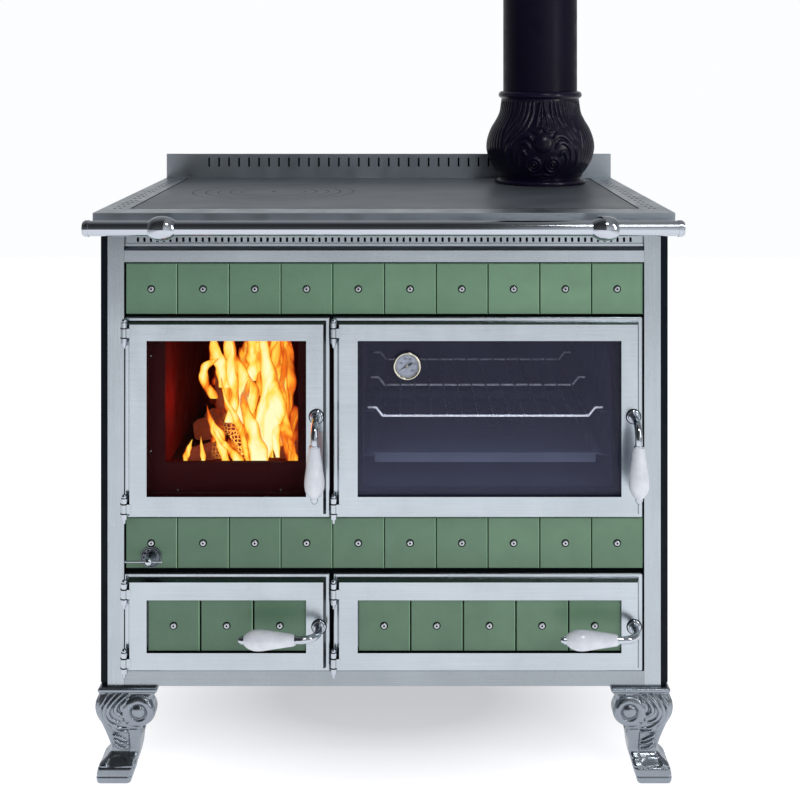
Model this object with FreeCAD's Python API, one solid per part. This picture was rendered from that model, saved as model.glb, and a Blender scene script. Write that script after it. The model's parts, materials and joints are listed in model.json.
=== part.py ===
import FreeCAD, Part
import math
import os

from FreeCAD import Vector

# A wood burning cooker: firebox and oven behind glazed doors, ash and wood compartments below, a hob
# with lift-out rings, a towel rail and a flue pipe. All sizes are in millimetres.
# X runs to the right, Y to the back and Z up. The origin is under the middle of the cooker, on the
# floor. Depths are given as the distance behind the hob's front edge, and y() turns one into a Y.

# ---- Overall sizes ----
HOB_WIDTH = 881.0
HOB_DEPTH = 610.0
HOB_TOP = 870.0
HOB_SKIRT = 32.0
LEG_HEIGHT = 145.0
BODY_WIDTH = 872.0
BODY_BACK = 600.0
RAIL_LENGTH = 892.0
FRONT_REACH = 55.0
HOB_FRONT_Y = -(HOB_DEPTH - FRONT_REACH) / 2

# ---- Depths behind the hob's front edge ----
POST_FACE = 20.0
TILE_FACE = 23.0
PLATE_FACE = 31.0
PLATE_BACK = 39.0
DOOR_FACE = 5.0
DOOR_FLANGE_FACE = 16.5
DOOR_BACK = 22.0
GLASS_FACE = 12.0
GLASS_BACK = 16.0
HINGE_DEPTH = 8.0
GRIP_DEPTH = -40.0
RAIL_DEPTH = -35.0

# ---- Front: posts, tiles and trims ----
SHEET = 2.5
POST_INNER = 397.4
POST_OUTER = 422.4
HOB_SHEET = 4.0
UNDER_HOB = HOB_TOP - HOB_SHEET
TILE_PITCH = 79.2
TILE_WIDTH = 78.4
TILE_HEIGHT = 78.0
TILES_PER_ROW = 10
UPPER_ROW_Z = 712.0
MIDDLE_ROW_Z = 323.3
TILE_CHAMFER = 1.2
SCREW_HEAD_RADIUS = 4.5
SCREW_SHANK_RADIUS = 2.4
SCREW_HOLE_RADIUS = 2.5
SCREW_SOCKET_RADIUS = 1.5
VENT_PITCH = 9.94
VENT_COUNT = 77
VENT_WIDTH = 3.6
VENT_HEIGHT = 6.9
VENT_Z = 825.8
PLINTH_TOP = 168.0

# ---- Doors: left and right columns, upper and lower rows ----
LEFT_DOOR = (-395.5, -82.6)
RIGHT_DOOR = (-77.6, 394.2)
UPPER_DOOR = (403.5, 709.6)
LOWER_DOOR = (169.3, 318.8)
LEFT_WINDOW = (-360.0, -118.0)
RIGHT_WINDOW = (-40.0, 360.0)
UPPER_WINDOW = (438.8, 675.3)
LOWER_WINDOW = (202.0, 282.2)
HINGE_INSET = 1.2
HINGE_ABOVE = 16.8
UPPER_HINGE_BELOW = 22.7
LOWER_HINGE_BELOW = 27.8
FLANGE_WIDTH = 5.3
BEVEL_WIDTH = 4.3
GLASS_LAP = 8.0
RETAINER_BACK = 24.0
SEAL_BACK = PLATE_FACE - 0.3
PIN_RADIUS = 2.5
KNUCKLE_RADIUS = 5.3
FIXED_KNUCKLE_RADIUS = 5.0
KNUCKLE_HALF = 7.0
LUG_INNER = 7.5
LUG_OUTER = 15.5
FIRE_PIVOT = (-102.5, 560.8)
OVEN_PIVOT = (378.2, 560.8)
ASH_PIVOT = (-98.5, 242.2)
WOOD_PIVOT = (379.3, 242.2)

# ---- Handles ----
ROD_RADIUS = 5.5
RUNNING_GAP = 0.08
BEND_RADIUS = 25.0
NECK_END = 33.5
GRIP_LENGTH = 75.0
GRIP_RADIUS = 15.0
CORE_RADIUS = 4.0
TONGUE_LENGTH = 14.0
TONGUE_DEPTHS = (24.0, 28.0)

# ---- Openings in the front plate: x range and z range ----
FIRE_MOUTH = (-336.8, -132.5, 483.4, 686.0)
OVEN_MOUTH = (-33.0, 351.0, 444.0, 674.0)
ASH_MOUTH = (-362.0, -112.0, 178.0, 312.0)
WOOD_MOUTH = (-41.0, 366.0, 178.0, 312.0)

# ---- Hob ----
HOB_PLATE = (395.5, 60.0, 590.0)
HOB_PLATE_THICK = 10.0
RING_CENTRE = (-200.0, 322.0)
RING_RADII = (141.0, 97.0, 56.0)
GROOVE_RADII = (118.0, 76.0)
GROOVE_DEPTH = 1.2
SIDE_VENT_ROWS = (412.5, 421.0)
SIDE_VENT_START = 62.0
SIDE_VENT_PITCH = 29.5
SIDE_VENT_COUNT = 17
SIDE_VENT_RADIUS = 2.6
RING_GAP = 0.5
RING_STEP = 5.5
FLUE_CENTRE = (289.5, 500.0)
FLUE_RADIUS = 70.0
FLUE_WALL = 2.0
FLUE_LENGTH = 1000.0
SPLASH_HEIGHT = 47.0
SPLASH_SLOT_PITCH = 19.8
SPLASH_SLOT_COUNT = 37

# ---- Inside ----
GRATE_Z = 462.0
RACK_Z = 545.5
TRAY_Z = 474.0
SHELF_Z = 398.0
VALVE_X = -356.4
VALVE_Z = 341.6
VALVE_RADIUS = 15.7
VALVE_SPINDLE_RADIUS = 4.0
VALVE_BAR = (34.6, 19.3)
VALVE_HOLE_RADIUS = 6.0

# ---- Thermometer on the oven door ----
DIAL_X = 35.2
DIAL_Z = 637.2
DIAL_RADIUS = 20.8
COLD_ANGLE = 210.0


def y(depth):
    """The Y of a plane that lies this far behind the hob's front edge."""
    return HOB_FRONT_Y + depth


def block(x0, x1, d0, d1, z0, z1):
    """A box between two X values, two depths and two heights."""
    return Part.makeBox(x1 - x0, d1 - d0, z1 - z0, Vector(x0, y(d0), z0))


def rod_x(x0, x1, depth, z, radius):
    return Part.makeCylinder(radius, x1 - x0, Vector(x0, y(depth), z), Vector(1, 0, 0))


def rod_y(x, d0, d1, z, radius):
    return Part.makeCylinder(radius, d1 - d0, Vector(x, y(d0), z), Vector(0, 1, 0))


def rod_z(x, depth, z0, z1, radius):
    return Part.makeCylinder(radius, z1 - z0, Vector(x, y(depth), z0), Vector(0, 0, 1))


def rod_between(start, end, radius):
    """A round bar between two points given as (x, depth, z), with a ball at its start."""
    a = Vector(start[0], y(start[1]), start[2])
    b = Vector(end[0], y(end[1]), end[2])
    bar = Part.makeCylinder(radius, (b - a).Length, a, b - a)
    return bar.fuse(Part.makeSphere(radius, a))


def ring_block(x0, x1, z0, z1, d0, d1, inner):
    """A rectangular picture frame: the outer box less the inner one, which is inset by `inner`."""
    outer = block(x0, x1, d0, d1, z0, z1)
    hole = block(x0 + inner, x1 - inner, d0 - 1, d1 + 1, z0 + inner, z1 - inner)
    return outer.cut(hole)


def prism_x(points, x0, x1):
    """A bar of constant section along X. The section is a list of (depth, z)."""
    wire = Part.makePolygon([Vector(x0, y(d), z) for d, z in points + points[:1]])
    return Part.Face(wire).extrude(Vector(x1 - x0, 0, 0))


def prism_z(points, z0, z1):
    """A post of constant section along Z. The section is a list of (x, depth)."""
    wire = Part.makePolygon([Vector(x, y(d), z0) for x, d in points + points[:1]])
    return Part.Face(wire).extrude(Vector(0, 0, z1 - z0))


def turned(profile, x, depth):
    """A solid of revolution about the vertical through (x, depth). The profile is a list of (r, z)."""
    wire = Part.makePolygon([Vector(x + r, y(depth), z) for r, z in profile + profile[:1]])
    return Part.Face(wire).revolve(Vector(x, y(depth), 0), Vector(0, 0, 1), 360)


def mirrored(shape):
    """The same shape on the other side of the middle plane."""
    return shape.mirror(Vector(0, 0, 0), Vector(1, 0, 0))


def join(shapes):
    """One solid made of several that overlap."""
    whole = shapes[0].fuse(shapes[1:]) if len(shapes) > 1 else shapes[0]
    return whole.removeSplitter()


def save(name, *shapes):
    """Writes one node: one solid, or several that belong together."""
    whole = Part.makeCompound(list(shapes)) if len(shapes) > 1 else shapes[0]
    whole.exportStep(os.path.join("parts", name + ".step"))


# ---------------------------------------------------------------- legs

SCROLL_CENTRE = (62.5, 109.0)
SCROLL_RADIUS = 25.0
LEG_PLATE = 90.0
LEG_WALL = 26.0


def leg_side():
    """The flat outline of a cabriole leg: across from its outer corner, and up from the floor."""
    outer = [(0, 136), (-1, 118), (3, 97), (15, 75), (21.5, 57), (14, 45), (1.5, 33), (-1, 20), (1, 6)]
    inner = [(51, 6), (54, 22), (58, 50), (65, 72), (66, 84)]
    curve = Part.BSplineCurve()
    curve.interpolate([Vector(a, 0, b) for a, b in outer])
    shin = Part.BSplineCurve()
    shin.interpolate([Vector(a, 0, b) for a, b in inner])
    edges = [
        curve.toShape(),
        Part.makeLine(Vector(1, 0, 6), Vector(6, 0, 0)),
        Part.makeLine(Vector(6, 0, 0), Vector(46, 0, 0)),
        Part.makeLine(Vector(46, 0, 0), Vector(51, 0, 6)),
        shin.toShape(),
        Part.makeLine(Vector(66, 0, 84), Vector(66, 0, 136)),
        Part.makeLine(Vector(66, 0, 136), Vector(0, 0, 136)),
    ]
    return Part.Face(Part.Wire(edges))


def leg():
    """One corner leg at the origin corner. It shows the same outline from the front and the side."""
    reach = Vector(0, LEG_PLATE, 0)
    scroll = Part.makeCylinder(
        SCROLL_RADIUS, LEG_PLATE, Vector(SCROLL_CENTRE[0], 0, SCROLL_CENTRE[1]), Vector(0, 1, 0)
    )
    front = leg_side().extrude(reach).fuse(scroll)
    side = front.copy()
    side.rotate(Vector(0, 0, 0), Vector(0, 0, 1), 90)
    side = side.mirror(Vector(0, 0, 0), Vector(1, 0, 0))
    body = front.common(side)
    room = Part.makeBox(LEG_PLATE, LEG_PLATE, 68, Vector(LEG_WALL, LEG_WALL, 70))
    slope = Part.makeBox(LEG_PLATE, LEG_PLATE, 68, Vector(LEG_WALL + 14, LEG_WALL + 14, 52))
    body = body.cut(room).cut(slope)
    neck = Part.makeLoft([square_wire(2, LEG_PLATE - 12, 128), square_wire(0, LEG_PLATE, 138)], True, True)
    plate = Part.makeBox(LEG_PLATE, LEG_PLATE, 7, Vector(0, 0, 138))
    return join([body, neck, plate])


def square_wire(low, high, z):
    corners = [(low, low), (high, low), (high, high), (low, high), (low, low)]
    return Part.makePolygon([Vector(a, b, z) for a, b in corners])


def save_legs():
    front = leg()
    front.translate(Vector(-BODY_WIDTH / 2, y(POST_FACE - 8), 0))
    rear = leg().mirror(Vector(0, 0, 0), Vector(0, 1, 0))
    rear.translate(Vector(-BODY_WIDTH / 2, y(BODY_BACK + 2), 0))
    save("leg_front_left", front)
    save("leg_front_right", mirrored(front))
    save("leg_rear_left", rear)
    save("leg_rear_right", mirrored(rear))


# ---------------------------------------------------------------- cabinet

CHUTE = (-330.0, -144.0, 90.0, 390.0)
PARTITION_X = -75.5


def save_base():
    """The floor pan, the partition between the two lower compartments, and the shelf above them."""
    half = BODY_WIDTH / 2 - SHEET - 0.5
    back = BODY_BACK - SHEET - 0.5
    floor = block(-half, half, PLATE_BACK + 0.5, back, LEG_HEIGHT, LEG_HEIGHT + 3)
    sill = block(-POST_INNER + 0.5, POST_INNER - 0.5, 23, PLATE_BACK + 1, LEG_HEIGHT, LEG_HEIGHT + 3)
    wall = block(PARTITION_X - 1.5, PARTITION_X + 1.5, PLATE_BACK, back, LEG_HEIGHT, SHELF_Z)
    shelf = block(-half, half, PLATE_BACK + 0.5, back, SHELF_Z - 3, SHELF_Z)
    shelf = shelf.cut(block(CHUTE[0], CHUTE[1], CHUTE[2], CHUTE[3], SHELF_Z - 10, SHELF_Z + 1))
    runners = [block(x, x + 10, 60, 470, LEG_HEIGHT, 178) for x in (-346, -138)]
    save("base_frame", join([floor, sill, wall, shelf] + runners))


def save_side_panels():
    """Bent side sheets: a bevelled front corner that meets the post, then a flat side."""
    out = BODY_WIDTH / 2
    bevel = out - POST_OUTER
    inner = out - SHEET
    section = [
        (POST_OUTER, POST_FACE),
        (out, POST_FACE + bevel),
        (out, BODY_BACK),
        (inner - 20, BODY_BACK),
        (inner - 20, BODY_BACK - SHEET),
        (inner, BODY_BACK - SHEET),
        (inner, POST_FACE + bevel + 1),
        (POST_OUTER, POST_FACE + 3.5),
    ]
    right = prism_z(section, LEG_HEIGHT, UNDER_HOB)
    save("side_panel_right", right)
    save("side_panel_left", mirrored(right))


def save_posts():
    """Channel posts beside the doors: a flat face with a return along each edge."""
    back = PLATE_BACK
    section = [
        (POST_INNER, POST_FACE),
        (POST_OUTER, POST_FACE),
        (POST_OUTER, POST_FACE + 3.5),
        (POST_OUTER - 1, back),
        (POST_OUTER - 1 - SHEET, back),
        (POST_OUTER - 1 - SHEET, POST_FACE + SHEET),
        (POST_INNER + SHEET, POST_FACE + SHEET),
        (POST_INNER + SHEET, back),
        (POST_INNER, back),
    ]
    right = prism_z(section, LEG_HEIGHT, UNDER_HOB)
    save("corner_post_right", right)
    save("corner_post_left", mirrored(right))


def save_rear_panel():
    half = BODY_WIDTH / 2 - SHEET - 20.5
    panel = block(-half, half, BODY_BACK - SHEET, BODY_BACK, LEG_HEIGHT, UNDER_HOB)
    rib = block(-half + 40, half - 40, BODY_BACK, BODY_BACK + 4, 480, 500)
    save("rear_panel", join([panel, rib]))


def evenly_spaced(count, middle, pitch):
    """The places of a row of equal steps about its middle."""
    return [middle + pitch * (i - (count - 1) / 2) for i in range(count)]


def row_screws(row_z):
    return [(x, row_z + TILE_HEIGHT / 2) for x in evenly_spaced(TILES_PER_ROW, 0, TILE_PITCH)]


def save_front_plate():
    """The cast front that carries the hinges and tiles, with a mouth behind each door."""
    plate = block(-POST_INNER + 0.5, POST_INNER - 0.5, PLATE_FACE, PLATE_BACK, LEG_HEIGHT + 3, 838)
    for x0, x1, z0, z1 in (FIRE_MOUTH, OVEN_MOUTH, ASH_MOUTH, WOOD_MOUTH):
        plate = plate.cut(block(x0, x1, PLATE_FACE - 1, PLATE_BACK + 1, z0, z1))
    holes = [
        rod_y(x, PLATE_FACE - 1, PLATE_BACK + 1, z, SCREW_HOLE_RADIUS)
        for x, z in row_screws(UPPER_ROW_Z) + row_screws(MIDDLE_ROW_Z)
    ]
    holes.append(rod_y(VALVE_X, PLATE_FACE - 1, PLATE_BACK + 1, VALVE_Z, VALVE_HOLE_RADIUS))
    save("front_plate", plate.cut(Part.makeCompound(holes)))


def save_vent_fascia():
    """The folded strip under the hob: a flat band, a sloping sill, a lip and a slotted upstand."""
    section = [
        (POST_FACE, 792.6),
        (POST_FACE, 810.2),
        (26, 816.2),
        (26, 820.3),
        (28, 820.8),
        (28, 843),
        (48, 843),
        (48, 841),
        (30, 841),
        (30, 818.9),
        (28, 818.4),
        (28, 815.4),
        (22, 809.4),
        (22, 794.6),
        (PLATE_FACE, 794.6),
        (PLATE_FACE, 792.6),
    ]
    strip = prism_x(section, -POST_INNER + 0.3, POST_INNER - 0.3)
    low = VENT_Z - VENT_HEIGHT / 2
    slots = [
        block(x - VENT_WIDTH / 2, x + VENT_WIDTH / 2, 27, 31, low, low + VENT_HEIGHT)
        for x in evenly_spaced(VENT_COUNT, 0, VENT_PITCH)
    ]
    save("vent_fascia", strip.cut(Part.makeCompound(slots)))


def save_plinth():
    section = [
        (POST_FACE, LEG_HEIGHT),
        (POST_FACE, PLINTH_TOP),
        (PLATE_FACE, PLINTH_TOP),
        (PLATE_FACE, PLINTH_TOP - SHEET),
        (POST_FACE + SHEET, PLINTH_TOP - SHEET),
        (POST_FACE + SHEET, LEG_HEIGHT),
    ]
    save("plinth_strip", prism_x(section, -POST_INNER + 0.3, POST_INNER - 0.3))


def tile(x, z0, face, back):
    """A glazed tile with a bevelled front edge and a screw hole in its middle."""
    half = TILE_WIDTH / 2
    body = block(x - half, x + half, face, back, z0, z0 + TILE_HEIGHT)
    front = [e for e in body.Edges if all(abs(v.Point.y - y(face)) < 1e-6 for v in e.Vertexes)]
    body = body.makeChamfer(TILE_CHAMFER, front)
    return body.cut(rod_y(x, face - 1, back + 1, z0 + TILE_HEIGHT / 2, SCREW_HOLE_RADIUS))


def tile_screw(x, z, face, end):
    """A button-head screw with a hexagon socket."""
    head = rod_y(x, face - 2.2, face, z, SCREW_HEAD_RADIUS)
    rim = [e for e in head.Edges if all(abs(v.Point.y - y(face - 2.2)) < 1e-6 for v in e.Vertexes)]
    head = head.makeFillet(1.6, [e for e in rim if e.Length > 10])
    shank = rod_y(x, face, end, z, SCREW_SHANK_RADIUS)
    return join([head, shank]).cut(rod_y(x, face - 3, face - 0.6, z, SCREW_SOCKET_RADIUS))


def save_tile_rows():
    centres = evenly_spaced(TILES_PER_ROW, 0, TILE_PITCH)
    upper = [tile(x, UPPER_ROW_Z, TILE_FACE, PLATE_FACE) for x in centres]
    middle = [tile(x, MIDDLE_ROW_Z, TILE_FACE, PLATE_FACE) for x in centres]
    middle[0] = middle[0].cut(rod_y(VALVE_X, TILE_FACE - 1, PLATE_FACE + 1, VALVE_Z, VALVE_HOLE_RADIUS))
    places = row_screws(UPPER_ROW_Z) + row_screws(MIDDLE_ROW_Z)
    save("upper_tile_row", *upper)
    save("middle_tile_row", *middle)
    save("tile_screws", *[tile_screw(x, z, TILE_FACE, PLATE_BACK - 1) for x, z in places])


# ---------------------------------------------------------------- hob

def save_hob_frame():
    """The steel surround: a top sheet with skirts, and a ledge that carries the hob plate."""
    half = HOB_WIDTH / 2
    hx, d0, d1 = HOB_PLATE
    low = HOB_TOP - HOB_SKIRT
    shell = block(-half, half, 0, HOB_DEPTH, low, HOB_TOP)
    shell = shell.cut(block(-half + 3, half - 3, 3, HOB_DEPTH - 3, low - 1, UNDER_HOB))
    gap = 0.5
    lip = block(-hx - gap - 2, hx + gap + 2, d0 - gap - 2, d1 + gap + 2, 856, UNDER_HOB)
    frame = shell.fuse(lip)
    frame = frame.cut(block(-hx - gap, hx + gap, d0 - gap, d1 + gap, 860, HOB_TOP + 1))
    frame = frame.cut(block(-hx + 10, hx - 10, d0 + 10, d1 - 10, 850, 861))
    holes = [
        rod_z(side * x, SIDE_VENT_START + SIDE_VENT_PITCH * i, 860, HOB_TOP + 1, SIDE_VENT_RADIUS)
        for side in (-1, 1)
        for x in SIDE_VENT_ROWS
        for i in range(SIDE_VENT_COUNT)
    ]
    save("hob_frame", frame.cut(Part.makeCompound(holes)).removeSplitter())


def ring_groove(radius):
    """A shallow V groove around the ring centre, to be cut from the top of the hob."""
    section = [(radius - 1, HOB_TOP + 0.5), (radius, HOB_TOP - GROOVE_DEPTH), (radius + 1, HOB_TOP + 0.5)]
    return turned(section, *RING_CENTRE)


def save_hob_plate():
    hx, d0, d1 = HOB_PLATE
    low = HOB_TOP - HOB_PLATE_THICK
    plate = block(-hx, hx, d0, d1, low, HOB_TOP)
    seat = RING_RADII[0] + RING_GAP
    plate = plate.cut(rod_z(*RING_CENTRE, low + HOB_PLATE_THICK / 2, HOB_TOP + 1, seat))
    plate = plate.cut(rod_z(*RING_CENTRE, low - 1, HOB_TOP, seat - RING_STEP))
    plate = plate.cut(rod_z(*FLUE_CENTRE, low - 1, HOB_TOP + 1, FLUE_RADIUS - FLUE_WALL - 2))
    save("hob_plate", plate)


def hob_ring(outer, inner):
    """A ring that hangs on the ledge outside it, and carries the next one on a ledge of its own."""
    low = HOB_TOP - HOB_PLATE_THICK
    middle = low + HOB_PLATE_THICK / 2
    ring = rod_z(*RING_CENTRE, middle, HOB_TOP, outer)
    ring = ring.fuse(rod_z(*RING_CENTRE, low, middle, outer - RING_STEP - RING_GAP))
    if inner:
        seat = inner + RING_GAP
        ring = ring.cut(rod_z(*RING_CENTRE, middle, HOB_TOP + 1, seat))
        ring = ring.cut(rod_z(*RING_CENTRE, low - 1, HOB_TOP, seat - RING_STEP))
    return ring.removeSplitter()


def save_hob_rings():
    outer, inner, lid = RING_RADII
    save("hob_ring_outer", hob_ring(outer, inner).cut(ring_groove(GROOVE_RADII[0])))
    save("hob_ring_inner", hob_ring(inner, lid).cut(ring_groove(GROOVE_RADII[1])))
    notch = rod_z(*RING_CENTRE, HOB_TOP - 6, HOB_TOP + 1, 5)
    save("hob_lid", hob_ring(lid, 0).cut(notch))


def save_backsplash():
    half = HOB_WIDTH / 2
    front, back, top = BODY_BACK, HOB_DEPTH, HOB_TOP + SPLASH_HEIGHT
    section = [
        (front, HOB_TOP),
        (front, top),
        (back, top),
        (back, HOB_TOP),
        (back - 2, HOB_TOP),
        (back - 2, top - 2),
        (front + 2, top - 2),
        (front + 2, HOB_TOP),
    ]
    sheet = prism_x(section, -half, half)
    slots = [
        block(x - 1.8, x + 1.8, front - 1, front + 3, HOB_TOP + 22, HOB_TOP + 40)
        for x in evenly_spaced(SPLASH_SLOT_COUNT, 0, SPLASH_SLOT_PITCH)
    ]
    save("backsplash", sheet.cut(Part.makeCompound(slots)))


RAIL_Z = 851.0
RAIL_RADIUS = 11.5
CAP_RADIUS = RAIL_RADIUS + 0.9
CAP_LENGTH = 9.0
RAIL_BALL_X = 329.0
RAIL_BALL_HALF = 19.4
RAIL_BALL_REACH = 25.2
RAIL_BALL_RADIUS = 18.6


def rail_ball(x):
    """A turned ball that grips the rail, with a stem and a flange back to the hob's skirt."""
    swell = []
    for share in (-1, -0.75, -0.45, 0, 0.45, 0.75, 1):
        along = share * RAIL_BALL_HALF
        swell.append((along, RAIL_BALL_RADIUS * math.sqrt(1 - (along / RAIL_BALL_REACH) ** 2)))
    outside = Part.BSplineCurve()
    outside.interpolate([Vector(along, 0, r) for along, r in swell])
    corners = [
        Vector(RAIL_BALL_HALF, 0, swell[-1][1]),
        Vector(RAIL_BALL_HALF, 0, RAIL_RADIUS + 0.03),
        Vector(-RAIL_BALL_HALF, 0, RAIL_RADIUS + 0.03),
        Vector(-RAIL_BALL_HALF, 0, swell[0][1]),
    ]
    edges = [outside.toShape()] + [Part.makeLine(a, b) for a, b in zip(corners, corners[1:])]
    ball = Part.Face(Part.Wire(edges)).revolve(Vector(0, 0, 0), Vector(1, 0, 0), 360)
    ball.translate(Vector(x, y(RAIL_DEPTH), RAIL_Z))
    stem = rod_y(x, RAIL_DEPTH + RAIL_RADIUS + 2, 0, RAIL_Z, 8)
    flange = rod_y(x, -4, 0, RAIL_Z, 12)
    return join([ball, stem, flange])


def rail_cap():
    """A domed plug that closes the right end of the rail."""
    half = RAIL_LENGTH / 2
    cap = rod_x(half - CAP_LENGTH, half - 2, RAIL_DEPTH, RAIL_Z, CAP_RADIUS)
    dome = rod_x(half - 2, half, RAIL_DEPTH, RAIL_Z, RAIL_RADIUS - 1)
    body = join([cap, dome])
    rims = [e for e in body.Edges if abs(e.BoundBox.XMin - half + 2) < 0.5 and e.BoundBox.XLength < 0.1]
    return body.makeFillet(1.2, [e for e in rims if abs(e.BoundBox.ZLength / 2 - CAP_RADIUS) < 0.01])


def save_rail():
    half = RAIL_LENGTH / 2 - CAP_LENGTH
    tube = rod_x(-half, half, RAIL_DEPTH, RAIL_Z, RAIL_RADIUS)
    tube = tube.cut(rod_x(-half - 1, half + 1, RAIL_DEPTH, RAIL_Z, RAIL_RADIUS - 1.5))
    save("towel_rail", tube)
    save("rail_end_caps", rail_cap(), mirrored(rail_cap()))
    save("rail_brackets", rail_ball(RAIL_BALL_X), rail_ball(-RAIL_BALL_X))


# ---------------------------------------------------------------- flue

COLLAR_WALL = 7.0
COLLAR_PROFILE = [
    (75.5, 882),
    (86, 895),
    (96, 912),
    (101, 930),
    (101.7, 943),
    (99, 957),
    (92.5, 974),
    (83, 990),
    (76, 1006),
    (73.5, 1030),
]


def collar_side(offset):
    """The bulb's outline as a smooth curve, moved inwards by an offset but kept clear of the pipe."""
    clear = FLUE_RADIUS + 1
    points = [Vector(max(r - offset, clear), 0, z) for r, z in COLLAR_PROFILE]
    curve = Part.BSplineCurve()
    curve.interpolate(points)
    return curve.toShape(), points[0], points[-1]


def save_flue():
    """A cast bulb that hides the foot of the pipe, and the pipe itself."""
    x, depth = FLUE_CENTRE
    bulb, low, high = collar_side(0)
    clear = FLUE_RADIUS + 0.6
    base_z = low.z
    inner = [Vector(r - COLLAR_WALL, 0, z) for r, z in COLLAR_PROFILE[1:7]]
    shoulder = inner[-1] + Vector(-14.2, 0, 30)
    rim = Vector(clear, 0, high.z)
    hollow = Part.BSplineCurve()
    hollow.interpolate(inner)
    edges = [
        bulb,
        Part.makeLine(high, rim),
        Part.makeLine(rim, shoulder),
        Part.makeLine(shoulder, inner[-1]),
        hollow.toShape(),
        Part.makeLine(inner[0], Vector(clear, 0, base_z)),
        Part.makeLine(Vector(clear, 0, base_z), low),
    ]
    shell = Part.Face(Part.Wire(Part.__sortEdges__(edges)))
    shell = shell.revolve(Vector(0, 0, 0), Vector(0, 0, 1), 360)
    foot = [(clear, HOB_TOP), (84, HOB_TOP), (86, 872), (86, 876), (83, 879), (78, 881)]
    foot += [(77, base_z), (clear, base_z)]
    top = [(clear, high.z), (73.5, high.z), (76.5, 1032), (78.8, 1035), (78.8, 1039), (76.5, 1042)]
    top += [(73, 1044), (clear, 1044)]
    collar = join([shell, turned_ring(foot), turned_ring(top)])
    collar.translate(Vector(x, y(depth), 0))
    save("flue_collar", collar)
    pipe = rod_z(x, depth, HOB_TOP, HOB_TOP + FLUE_LENGTH, FLUE_RADIUS)
    pipe = pipe.cut(rod_z(x, depth, HOB_TOP - 1, HOB_TOP + FLUE_LENGTH + 1, FLUE_RADIUS - FLUE_WALL))
    save("flue_pipe", pipe)


def turned_ring(profile):
    wire = Part.makePolygon([Vector(r, 0, z) for r, z in profile + profile[:1]])
    return Part.Face(wire).revolve(Vector(0, 0, 0), Vector(0, 0, 1), 360)


# ---------------------------------------------------------------- firebox, ash pan and oven

def save_firebox():
    """The refractory lining: open at the front and top, with a chute under the grate."""
    x0, x1 = FIRE_MOUTH[:2]
    wall = 26.0
    outer = block(x0 - wall, x1 + wall, PLATE_BACK + 0.5, 440, SHELF_Z, 840)
    room = block(x0, x1, PLATE_BACK, 415, GRATE_Z + 10, 841)
    chute = block(CHUTE[0], CHUTE[1], CHUTE[2], CHUTE[3], SHELF_Z - 1, GRATE_Z + 11)
    seat = block(CHUTE[0] - 8, CHUTE[1] + 8, CHUTE[2] - 8, CHUTE[3] + 8, GRATE_Z, GRATE_Z + 11)
    save("firebox_lining", outer.cut(room).cut(chute).cut(seat))


def save_grate():
    """A cast grate of bars in a frame, which sits in the rebate of the lining."""
    x0, x1, d0, d1 = CHUTE[0] - 7, CHUTE[1] + 7, CHUTE[2] - 7, CHUTE[3] + 7
    top = GRATE_Z + 10
    border, bar_count, bar_half = 12, 9, 5
    outer = block(x0, x1, d0, d1, GRATE_Z, top)
    frame = outer.cut(block(x0 + border, x1 - border, d0 + border, d1 - border, GRATE_Z - 1, top + 1))
    step = (x1 - x0 - 2 * border) / bar_count
    middles = [x0 + border + step * (i + 0.5) for i in range(bar_count)]
    bars = [block(x - bar_half, x + bar_half, d0 + 5, d1 - 5, GRATE_Z, top) for x in middles]
    middle = (d0 + d1) / 2
    cross = block(x0 + 5, x1 - 5, middle - 5, middle + 5, GRATE_Z, GRATE_Z + 6)
    save("fire_grate", join([frame, cross] + bars))


def open_pan(x0, x1, d0, d1, z0, z1, wall):
    outer = block(x0, x1, d0, d1, z0, z1)
    return outer.cut(block(x0 + wall, x1 - wall, d0 + wall, d1 - wall, z0 + wall, z1 + 1))


def save_ash_pan():
    pan = open_pan(-350, -124, 46, 470, 178, 236, 2)
    lip = block(-270, -204, 40, 48, 216, 219)
    save("ash_pan", join([pan, lip]))


OVEN_BACK = 480.0
RUNNER_DEPTH = (60.0, 470.0)


def save_oven_box():
    """The enamelled oven: a five-sided box with runners pressed along its sides, on two feet."""
    x0, x1, z0, z1 = OVEN_MOUTH
    wall = 3.0
    box = block(x0 - wall, x1 + wall, PLATE_BACK + 0.3, OVEN_BACK + wall, z0 - wall, z1 + wall)
    box = box.cut(block(x0, x1, PLATE_BACK - 1, OVEN_BACK, z0, z1))
    parts = [box]
    d0, d1 = RUNNER_DEPTH
    for z in (TRAY_Z + 10.3, RACK_Z + 7.6):
        parts.append(block(x0 - 1, x0 + 16, d0, d1, z, z + 3))
        parts.append(block(x1 - 16, x1 + 1, d0, d1, z, z + 3))
    for x in (x0 + 10, x1 - 20):
        parts.append(block(x, x + 10, 60, 460, SHELF_Z, z0))
    save("oven_box", join(parts))


def save_oven_rack():
    """A wire shelf: three cross wires with turned-up ends, and thin wires from front to back."""
    wire, thin = 1.8, 1.2
    low, high = RACK_Z, RACK_Z + 13
    turn_x, bend_x, end_x = -3.0, -13.5, -25.0
    far = 316.0
    parts = []
    for depth in (66, 258, 446):
        points = [(end_x, high), (bend_x, high), (turn_x, low)]
        points += [(far - x, z) for x, z in reversed(points)]
        line = [(x, depth, z) for x, z in points]
        parts += [rod_between(a, b, wire) for a, b in zip(line, line[1:])]
    count = 14
    for i in range(count):
        x = far * i / (count - 1)
        parts.append(rod_y(x, 66 - 3, 446 + 3, low + wire, thin))
    save("oven_rack", join(parts))


def save_baking_tray():
    x0, x1 = -23.5, 338.0
    pan = open_pan(x0 + 8, x1 - 8, 66, 440, TRAY_Z - 1, TRAY_Z + 15, 1.6)
    rim = ring_plate(x0, x1, 60, 446, TRAY_Z + 13.5, TRAY_Z + 15, 9.6)
    save("baking_tray", join([pan, rim]))


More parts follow.
